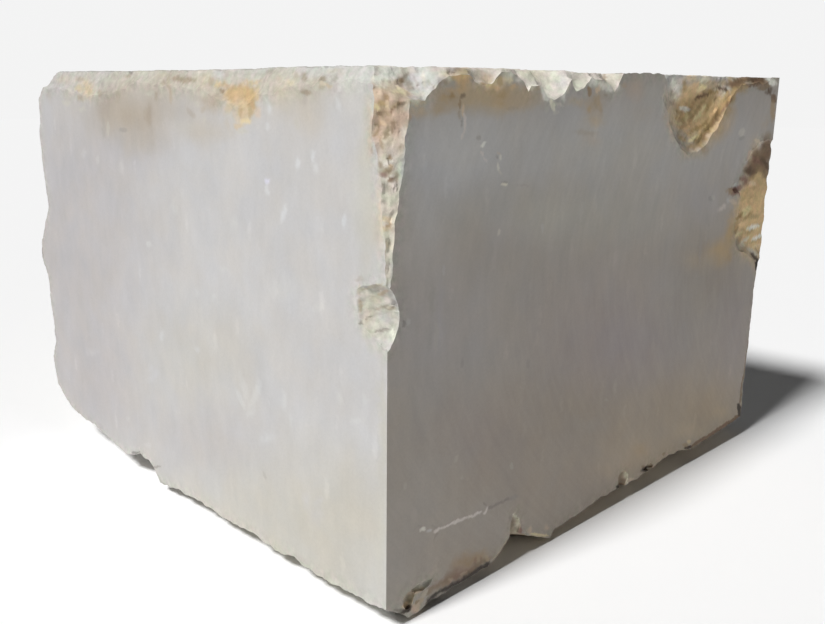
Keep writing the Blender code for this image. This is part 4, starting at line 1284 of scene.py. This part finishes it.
def relief(point):
    """How deep the broken stone is cut at a place, in metres, never above its solid."""
    distance = point.y - NEAR.y
    inward = HIGH.x - point.x
    if not is_shown(point):
        return max(cut_flakes(point, HIDDEN_FLAKES), 0.0)
    if inward < HOLLOW_REACH and FLUTED_NEAR < distance < FLUTED_FAR and point.z > FLUTED_FOOT:
        cut, across = cut_grooves(point, GROOVE_SLANT)
        bend = FLUTE_BEND * noise.noise(point / FLUTE_BEND_SIZE)
        flute = 0.5 - 0.5 * math.cos(2 * math.pi * (across / FLUTE_PITCH + bend))
        return max(cut, 0.0) + FLUTE_DEPTH * flute
    if inward < HOLLOW_REACH and distance > FAR_HOLLOW_NEAR and point.z > FAR_HOLLOW_FOOT:
        quiet = min(max((HIGH.y - point.y) / FAR_QUIET, FAR_LEAST), 1.0)
        return quiet * max(cut_grooves(point, FAR_SLANT)[0], 0.0)
    by_corner = distance < EDGE_REACH and inward < EDGE_REACH
    kind = (BROW_FLAKES if point.z > BROW else CORNER_FLAKES) if by_corner else CROWN_FLAKES
    return max(cut_flakes(point, kind), 0.0)


def measure_borders(shape):
    """Note how far each corner is from the border between sawn and broken stone in view."""
    border = border_tree(shape)
    distances = shape.verts.layers.float.new("from_border")
    for corner in shape.verts:
        corner[distances] = border.find(corner.co)[2]
    return distances


def stray_borders(shape, from_border):
    """Make the sawn faces' borders ragged: corners by them stray within the planes they lie in."""
    for corner in shape.verts:
        near = 1.0 - float(ease(corner[from_border] / BORDER_REACH))
        if near <= 0.0:
            continue
        stray = sum((noise.noise_vector(corner.co / length) * far for length, far in BORDER_STRAY),
                    Vector())
        kept = planes_at(corner)
        for axis, level in SAWN_PLANES:
            inward = level - corner.co[axis]
            if (axis, level) in kept:
                stray[axis] = 0.0
            elif abs(inward) < BORDER_REACH and stray[axis] * inward > 0.0:
                stray[axis] = math.copysign(min(abs(stray[axis]), 0.5 * abs(inward)), inward)
        corner.co += stray * near
        for axis in range(3):
            corner.co[axis] = min(max(corner.co[axis], LOW[axis]), HIGH[axis])


def break_stone(shape, from_border):
    """Carve the fine relief into the broken stone, from nothing at the borders of sawn faces."""
    shape.normal_update()
    depths = shape.verts.layers.float.new("cut_depth")
    moves = []
    for corner in shape.verts:
        broken = [face for face in corner.link_faces if face.material_index == BROKEN]
        if not broken or planes_at(corner):
            continue
        normal = sum((face.normal * face.calc_area() for face in broken), Vector())
        depth = relief(corner.co) * min(corner[from_border] / RELIEF_RISE, 1.0)
        corner[depths] = depth
        moves.append((corner, normal.normalized() * -depth))
    for corner, push in moves:
        corner.co += push


def soften(shape):
    """Round the solid's facets a little before the fine relief is cut."""
    inner = [corner for corner in shape.verts
             if all(face.material_index == BROKEN for face in corner.link_faces)]
    for _ in range(SMOOTH_PASSES):
        bmesh.ops.smooth_vert(shape, verts=inner, factor=0.5, use_axis_x=True,
                              use_axis_y=True, use_axis_z=True)


def build_stone():
    """The block as one closed mesh: sawn faces as cut, broken stone with its fine relief.

    The solid's own stored normals are left off, because the finer mesh makes its own.
    """
    shape = bmesh.new()
    shape.from_mesh(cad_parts["marble_block"].data)
    bmesh.ops.remove_doubles(shape, verts=shape.verts[:], dist=SAME_PLACE)
    weld_short_edges(shape)
    for face in shape.faces:
        face.material_index = SAWN if is_sawn(face) else BROKEN
    refine(shape)
    soften(shape)
    from_border = measure_borders(shape)
    stray_borders(shape, from_border)
    break_stone(shape, from_border)
    broken = shape.faces.layers.float.new("broken")
    on_side = shape.faces.layers.float.new("on_side")
    worn = shape.verts.layers.float.new("worn")
    for corner in shape.verts:
        if any(face.material_index == BROKEN for face in corner.link_faces):
            corner[worn] = 1.0
        elif planes_at(corner) & {(0, HIGH.x), (1, LOW.y)}:
            corner[worn] = 1.0 - float(ease(corner[from_border] / WORN_REACH))
    shape.normal_update()
    for edge in shape.edges:
        kinds = {face.material_index for face in edge.link_faces}
        edge.smooth = len(kinds) == 1 and edge.calc_face_angle(0.0) < CRISP
    for face in shape.faces:
        face[broken] = float(face.material_index == BROKEN)
        face[on_side] = float(all(abs(corner.co.x - HIGH.x) < TRUE for corner in face.verts))
        face.smooth = True
        face.material_index = 0
    mesh = bpy.data.meshes.new("quarried_marble")
    shape.to_mesh(mesh)
    shape.free()
    carried = mesh.attributes.get("custom_normal")
    if carried:
        mesh.attributes.remove(carried)
    stone = bpy.data.objects.new("quarried_marble", mesh)
    bpy.context.scene.collection.objects.link(stone)
    return stone


# --- the colours of the stone --------------------------------------------------------------------

SAWN_GREY = "#BDBCBA"

# The broken stone away from the front and the side: its ground, and the tones that cloud it, each
# with the length over which it comes and goes, the noise from which it shows and its strength.
HIDDEN_GROUND = "#C6C1B5"
HIDDEN_CLOUDS = (
    ("shell", 420 * MM, 0.02, 0.6),
    ("bone", 260 * MM, 0.05, 0.6),
    ("fawn", 340 * MM, 0.08, 0.45),
    ("mushroom", 150 * MM, 0.16, 0.35),
    ("flax", 230 * MM, 0.20, 0.5),
    ("tan", 120 * MM, 0.30, 0.45),
)
CLOUD_EDGE = 0.3
CLOUD_SHIFT = 7.0

# How deep the marks of a face reach into the broken stone, and over what length they fade there.
MARKED_DEPTH = 0.24
MARKED_FADE = 0.05

# Over what width the marks of the front and the side meet in broken stone.
MITRE = 20 * MM


def blend(under, over, share):
    """Lay one colour over others by a share for each place."""
    return under + (np.array(over[:3]) - under) * share[:, None]


def lay_marks(colours, marks, frame_places, strayed_places, nearness):
    """Lay a group's marks over the colours, by how near each place is to the group's face."""
    chosen = np.flatnonzero(nearness > 0.0)
    columns, rows = (places[chosen] for places in frame_places)
    strayed_columns, strayed_rows = (places[chosen] for places in strayed_places)
    for mark in marks:
        tone, strength, softness = mark[5:]
        share = min(max(min(mark[2], mark[3]) / FULL_STRAY, LEAST_STRAY), 1.0)
        reach = mark_reach(mark, columns + share * (strayed_columns - columns),
                           rows + share * (strayed_rows - rows))
        cover = ease((1.0 + 0.5 * MARK_EDGE - reach) / (share * (softness + MARK_EDGE)))
        cover *= strength * nearness[chosen]
        colours[chosen] = blend(colours[chosen], linear(TONES[tone]), cover)


def stray_all(places, length):
    """Which way each place strays, changing over a length."""
    return np.array([noise.noise_vector(Vector(place) / length) for place in places])


def colour_stone(stone):
    """Give every corner of the mesh its colours: as broken stone, and as sawn front and side.

    Where the front and the side meet, each of the two keeps its own colour up to the arris.
    """
    mesh = stone.data
    count = len(mesh.vertices)
    flat = np.empty(count * 3)
    mesh.vertices.foreach_get("co", flat)
    places = flat.reshape(count, 3)
    strayed = places + sum(stray_all(places, length) * far for length, far in MARK_STRAYS)
    frame_places = in_frame(places)
    strayed_places = in_frame(strayed)

    front_depth = places[:, 1] - LOW.y
    side_depth = HIGH.x - places[:, 0]
    by_front = ease((MARKED_DEPTH - front_depth) / MARKED_FADE)
    by_side = ease((MARKED_DEPTH - side_depth) / MARKED_FADE)
    close = by_front * by_side
    mitre = ease(0.5 + (side_depth - front_depth) / MITRE)
    on_broken = {"front": mitre * by_front, "side": (1.0 - mitre) * by_side, "corner": close}
    on_sawn = {"front": (front_depth < TRUE) * 1.0, "side": (side_depth < TRUE) * 1.0,
               "corner": close}

    plain = np.tile(np.array(linear(SAWN_GREY)[:3]), (count, 1))
    sawn = {"front": plain.copy(), "side": plain.copy()}
    hidden = ease((np.minimum(front_depth, side_depth) - EDGE_REACH / 2) / (EDGE_REACH / 2))
    broken = blend(plain, linear(HIDDEN_GROUND), hidden)
    for number, (tone, length, least, strength) in enumerate(HIDDEN_CLOUDS):
        shift = Vector((CLOUD_SHIFT * number, 0.0, 0.0))
        cloud = np.array([noise.noise(Vector(place) / length + shift) for place in strayed])
        cover = strength * hidden * ease((cloud - least) / CLOUD_EDGE)
        broken = blend(broken, linear(TONES[tone]), cover)
    for face, stone_kind, marks in MARKS:
        if stone_kind != "sawn":
            lay_marks(broken, marks, frame_places, strayed_places, on_broken[face])
        for kept in ("front", "side"):
            if stone_kind != "broken" and face in (kept, "corner"):
                lay_marks(sawn[kept], marks, frame_places, strayed_places, on_sawn[face])

    layers = {"broken_colour": broken, "front_colour": sawn["front"], "side_colour": sawn["side"]}
    for name, colours in layers.items():
        layer = mesh.attributes.new(name, "FLOAT_COLOR", "POINT")
        layer.data.foreach_set("color", np.column_stack((colours, np.ones(count))).ravel())
    mesh.attributes.remove(mesh.attributes["from_border"])


# --- the material --------------------------------------------------------------------------------

# The bow of the wire saw's lines on the side: metres for each metre of height, squared, and how
# much longer the lines are than wide.
SAW_BOW = 0.62
BOW_HEIGHT = 1.0
SAW_SLANT = 0.12

# The sizes of the stone's patterns: its clouds and their drift in tint, the sawn stone's upright
# streaks, blotches and flecks, and the mottle, patches and grain of the broken stone.
CLOUD_SIZE = 260 * MM
DRIFT_SIZE = 150 * MM
STREAK_SIZE = 34 * MM
BLOTCH_SIZE = 75 * MM
FLECK_SIZE = 75 * MM
FLECK_EDGE_SIZE = 16 * MM
SAW_LINE_SIZE = 26 * MM
MOTTLE_SIZE = 30 * MM
PATCH_SIZE = 22 * MM
GRAIN_SIZE = 7 * MM

# Upright patterns are this much flatter in height than across.
STREAK_RISE = (1.0, 1.0, 0.36)
BLOTCH_RISE = (1.0, 1.0, 0.55)

# Where the drift and the patches are read, so that they differ from the clouds and the grain.
DRIFT_PLACE = (7.3, 1.9, 4.1)
PATCH_PLACE = (3.1, 5.7, 2.3)

# Tints that the stone's clouds shift its colour towards, as factors of red, green and blue.
GREENISH = (0.955, 1.0, 0.925, 1.0)
PINKISH = (1.035, 0.99, 0.985, 1.0)
LAVENDER = (0.983, 0.995, 1.01, 1.0)
WARM = (1.012, 1.0, 0.975, 1.0)
# Brown earth and painted shade in the deep cuts of the broken stone.
HOLLOW_BROWN_AND_SHADE = (0.66, 0.56, 0.45, 1.0)
PLAIN = (1.0, 1.0, 1.0, 1.0)

# From this depth on a cut in the broken stone turns brown and darker, as earth and painted shade, up
# to the deepest cuts.
SHALLOW_CUT = 8 * MM
DEEP_CUT = 22 * MM

# How far the bump stands out on sawn and on broken stone.
SAWN_BUMP = 0.25 * MM
BROKEN_BUMP = 2.0 * MM


def add(tree, kind, inputs=None, **settings):
    """Add a shader node: its own settings, and for each input a value or what feeds it.

    An input takes the first output of a node that is given for it.
    """
    made = tree.nodes.new("ShaderNode" + kind)
    for name, value in settings.items():
        setattr(made, name, value)
    for socket, value in (inputs or {}).items():
        source = value.outputs[0] if isinstance(value, bpy.types.Node) else value
        if isinstance(source, bpy.types.NodeSocket):
            tree.links.new(source, made.inputs[socket])
        else:
            made.inputs[socket].default_value = source
    return made


def marble_material():
    """Beige marble, wire-sawn and split.

    The saw leaves a flat matt face with faint bowed lines and the stone's own clouds and pale
    flecks; split stone is rough, mottled and crystalline, with iron and earth in its hollows and
    painted shade that deepens with the cut.
    """
    material = bpy.data.materials.new("beige marble, wire-sawn and split")
    material.use_nodes = True
    tree = material.node_tree
    tree.nodes.clear()
    node = functools.partial(add, tree)
    surface = node("TexCoord").outputs
    place = surface["Object"]
    parts = node("SeparateXYZ", {0: place}).outputs
    facing = node("SeparateXYZ", {0: surface["Normal"]}).outputs

    broken = node("Attribute", attribute_name="broken").outputs["Fac"]
    worn = node("Attribute", attribute_name="worn").outputs["Fac"]
    depth = node("Attribute", attribute_name="cut_depth").outputs["Fac"]
    on_side = node("Attribute", attribute_name="on_side").outputs["Fac"]
    front_colour = node("Attribute", attribute_name="front_colour").outputs["Color"]
    side_colour = node("Attribute", attribute_name="side_colour").outputs["Color"]
    broken_colour = node("Attribute", attribute_name="broken_colour").outputs["Color"]
    sawn = node("Mix", {0: on_side, 6: front_colour, 7: side_colour}, data_type="RGBA").outputs[2]
    stone = node("Mix", {0: broken, 6: sawn, 7: broken_colour}, data_type="RGBA").outputs[2]

    # clouds in all of the stone
    cloud = node("TexNoise", {"Vector": place, "Scale": 1 / CLOUD_SIZE, "Detail": 3.0})
    shade = node("MapRange", {0: cloud, 1: 0.3, 2: 0.7, 3: 0.97, 4: 1.03})
    stone = node("VectorMath", {0: stone, "Scale": shade}, operation="SCALE")
    drift_place = node("VectorMath", {0: place, 1: DRIFT_PLACE})
    drift = node("TexNoise", {"Vector": drift_place, "Scale": 1 / DRIFT_SIZE, "Detail": 3.0})
    share = node("MapRange", {0: drift, 1: 0.35, 2: 0.65, 3: 0.0, 4: 1.0})
    tint = node("Mix", {0: share, 6: LAVENDER, 7: WARM}, data_type="RGBA").outputs[2]
    stone = node("VectorMath", {0: stone, 1: tint}, operation="MULTIPLY")

    # upright streaks and blotches of the sawn stone
    upright = node("Mapping", {0: place, "Scale": STREAK_RISE})
    streak = node("TexNoise", {"Vector": upright, "Scale": 1 / STREAK_SIZE, "Detail": 3.0,
                               "Roughness": 0.6})
    shade = node("MapRange", {0: streak, 1: 0.3, 2: 0.7, 3: 0.98, 4: 1.02})
    stone = node("VectorMath", {0: stone, "Scale": shade}, operation="SCALE")
    blotch_place = node("Mapping", {0: place, "Scale": BLOTCH_RISE})
    blotch = node("TexNoise", {"Vector": blotch_place, "Scale": 1 / BLOTCH_SIZE, "Detail": 3.0})
    shade = node("MapRange", {0: blotch, 1: 0.3, 2: 0.7, 3: 0.972, 4: 1.028})
    stone = node("VectorMath", {0: stone, "Scale": shade}, operation="SCALE")

    # pale flecks with soft, uneven edges, in some of their cells
    cells = node("TexVoronoi", {"Vector": upright, "Scale": 1 / FLECK_SIZE}).outputs
    draw = node("SeparateXYZ", {0: cells["Color"]})
    chosen = node("MapRange", {0: draw, 1: 0.4, 2: 0.8, 3: 0.0, 4: 1.0})
    edge = node("TexNoise", {"Vector": place, "Scale": 1 / FLECK_EDGE_SIZE, "Detail": 2.0})
    uneven = node("Math", {0: edge, 1: 0.3}, operation="MULTIPLY")
    distance = node("Math", {0: cells["Distance"], 1: uneven}, operation="ADD")
    nearness = node("MapRange", {0: distance, 1: 0.26, 2: 0.38, 3: 0.09, 4: 0.0})
    fleck = node("Math", {0: chosen, 1: nearness}, operation="MULTIPLY")
    shade = node("Math", {0: fleck, 1: 1.0}, operation="ADD")
    stone = node("VectorMath", {0: stone, "Scale": shade}, operation="SCALE")

    # the wire saw's bowed lines
    height = node("Math", {0: parts[2], 1: BOW_HEIGHT}, operation="SUBTRACT")
    square = node("Math", {0: height, 1: 2.0}, operation="POWER")
    bow = node("Math", {0: square, 1: SAW_BOW}, operation="MULTIPLY")
    along = node("Math", {0: parts[1], 1: parts[0]}, operation="SUBTRACT")
    across = node("Math", {0: along, 1: bow}, operation="SUBTRACT")
    rise = node("Math", {0: parts[2], 1: SAW_SLANT}, operation="MULTIPLY")
    line_place = node("CombineXYZ", {0: across, 2: rise})
    line_noise = node("TexNoise", {"Vector": line_place, "Scale": 1 / SAW_LINE_SIZE, "Detail": 3.0,
                                   "Roughness": 0.6})
    line = node("MapRange", {0: line_noise, 1: 0.3, 2: 0.7, 3: -0.03, 4: 0.03})
    sideways = node("Math", {0: facing[0]}, operation="ABSOLUTE")
    shown_line = node("Math", {0: line, 1: sideways}, operation="MULTIPLY")
    shade = node("Math", {0: shown_line, 1: 1.0}, operation="ADD")
    stone = node("VectorMath", {0: stone, "Scale": shade}, operation="SCALE")

    # mottling of the broken stone and of the sawn stone beside it
    mottle = node("TexNoise", {"Vector": place, "Scale": 1 / MOTTLE_SIZE, "Detail": 4.0,
                               "Roughness": 0.6})
    share = node("MapRange", {0: mottle, 1: 0.38, 2: 0.62, 3: 0.0, 4: 1.0})
    tint = node("Mix", {0: share, 6: GREENISH, 7: PINKISH}, data_type="RGBA").outputs[2]
    tint = node("Mix", {0: worn, 6: PLAIN, 7: tint}, data_type="RGBA").outputs[2]
    stone = node("VectorMath", {0: stone, 1: tint}, operation="MULTIPLY")
    patch_place = node("VectorMath", {0: place, 1: PATCH_PLACE})
    patch = node("TexNoise", {"Vector": patch_place, "Scale": 1 / PATCH_SIZE, "Detail": 3.0,
                              "Roughness": 0.6})
    shade = node("MapRange", {0: patch, 1: 0.3, 2: 0.7, 3: 0.86, 4: 1.14})
    change = node("Math", {0: shade, 1: 1.0}, operation="SUBTRACT")
    shade = node("Math", {0: change, 1: worn, 2: 1.0}, operation="MULTIPLY_ADD")
    stone = node("VectorMath", {0: stone, "Scale": shade}, operation="SCALE")

    # brown earth and painted shade in the deep cuts
    deep = node("MapRange", {0: depth, 1: SHALLOW_CUT, 2: DEEP_CUT, 3: 0.0, 4: 0.5})
    hollow = node("Math", {0: deep, 1: broken}, operation="MULTIPLY")
    tint = node("Mix", {0: hollow, 6: PLAIN, 7: HOLLOW_BROWN_AND_SHADE}, data_type="RGBA").outputs[2]
    stone = node("VectorMath", {0: stone, 1: tint}, operation="MULTIPLY")

    # grain, and the relief that it and the patches leave
    grain = node("TexNoise", {"Vector": place, "Scale": 1 / GRAIN_SIZE, "Detail": 2.0})
    shade = node("MapRange", {0: grain, 1: 0.3, 2: 0.7, 3: 0.975, 4: 1.025})
    stone = node("VectorMath", {0: stone, "Scale": shade}, operation="SCALE")
    raised = node("Math", {0: patch, 1: worn, 2: grain}, operation="MULTIPLY_ADD")
    reach = node("MapRange", {0: worn, 1: 0.0, 2: 1.0, 3: SAWN_BUMP, 4: BROKEN_BUMP})
    bump = node("Bump", {"Strength": 0.6, "Distance": reach, "Height": raised})
    shader = node("BsdfPrincipled", {"Base Color": stone, "Roughness": 0.7, "IOR": 1.5,
                                     "Normal": bump})
    node("OutputMaterial", {"Surface": shader})
    return material


def floor_material():
    """Matt white studio floor, painted: an even near-white without gloss."""
    material = bpy.data.materials.new("matt white studio paint")
    material.use_nodes = True
    shader = material.node_tree.nodes["Principled BSDF"]
    shader.inputs["Base Color"].default_value = linear("#FCFCFC")
    shader.inputs["Roughness"].default_value = 0.9
    shader.inputs["Specular IOR Level"].default_value = 0.0
    return material


# --- floor, light and camera ---------------------------------------------------------------------

SUN_TOWARDS = Vector((-0.02, -0.62, 0.78))
SUN_STRENGTH = 3.5
SUN_SPREAD = math.radians(12)
SKY_LIGHT = 0.06
BACKDROP = 0.90
FLOOR_REACH = 40.0


def build_floor():
    """A plain pale floor."""
    shape = bmesh.new()
    bmesh.ops.create_grid(shape, x_segments=1, y_segments=1, size=FLOOR_REACH)
    mesh = bpy.data.meshes.new("studio_floor")
    shape.to_mesh(mesh)
    shape.free()
    floor = bpy.data.objects.new("studio_floor", mesh)
    bpy.context.scene.collection.objects.link(floor)
    mesh.materials.append(floor_material())
    return floor


def light_studio():
    """One broad key light on the front and a faint even fill before a near-white backdrop."""
    lamp = bpy.data.lights.new("key", "SUN")
    lamp.energy = SUN_STRENGTH
    lamp.angle = SUN_SPREAD
    key = bpy.data.objects.new("key", lamp)
    key.rotation_euler = SUN_TOWARDS.to_track_quat("Z", "Y").to_euler()
    bpy.context.scene.collection.objects.link(key)
    world = bpy.data.worlds.new("studio")
    world.use_nodes = True
    tree = world.node_tree
    tree.nodes.clear()
    fill = add(tree, "Background", {"Color": (1, 1, 1, 1), "Strength": SKY_LIGHT})
    wall = add(tree, "Background", {"Color": (1, 1, 1, 1), "Strength": BACKDROP})
    seen = add(tree, "LightPath").outputs["Is Camera Ray"]
    both = add(tree, "MixShader", {0: seen, 1: fill, 2: wall})
    add(tree, "OutputWorld", {"Surface": both})
    bpy.context.scene.world = world


def place_camera():
    """Stand the camera where the two sawn faces meet."""
    lens = bpy.data.cameras.new("camera")
    lens.lens = CAMERA_LENS
    lens.sensor_width = CAMERA_SENSOR
    lens.clip_end = CAMERA_SIGHT
    camera = bpy.data.objects.new("camera", lens)
    camera.matrix_world = camera_stand()
    bpy.context.scene.collection.objects.link(camera)
    bpy.context.scene.camera = camera


# --- the scene -----------------------------------------------------------------------------------

noise.seed_set(STRAY_SEED)
stone = build_stone()
colour_stone(stone)
stone.data.materials.append(marble_material())
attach(stone, "root")
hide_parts("marble_block")
build_floor()
light_studio()
place_camera()
bpy.context.scene.view_settings.view_transform = "Standard"
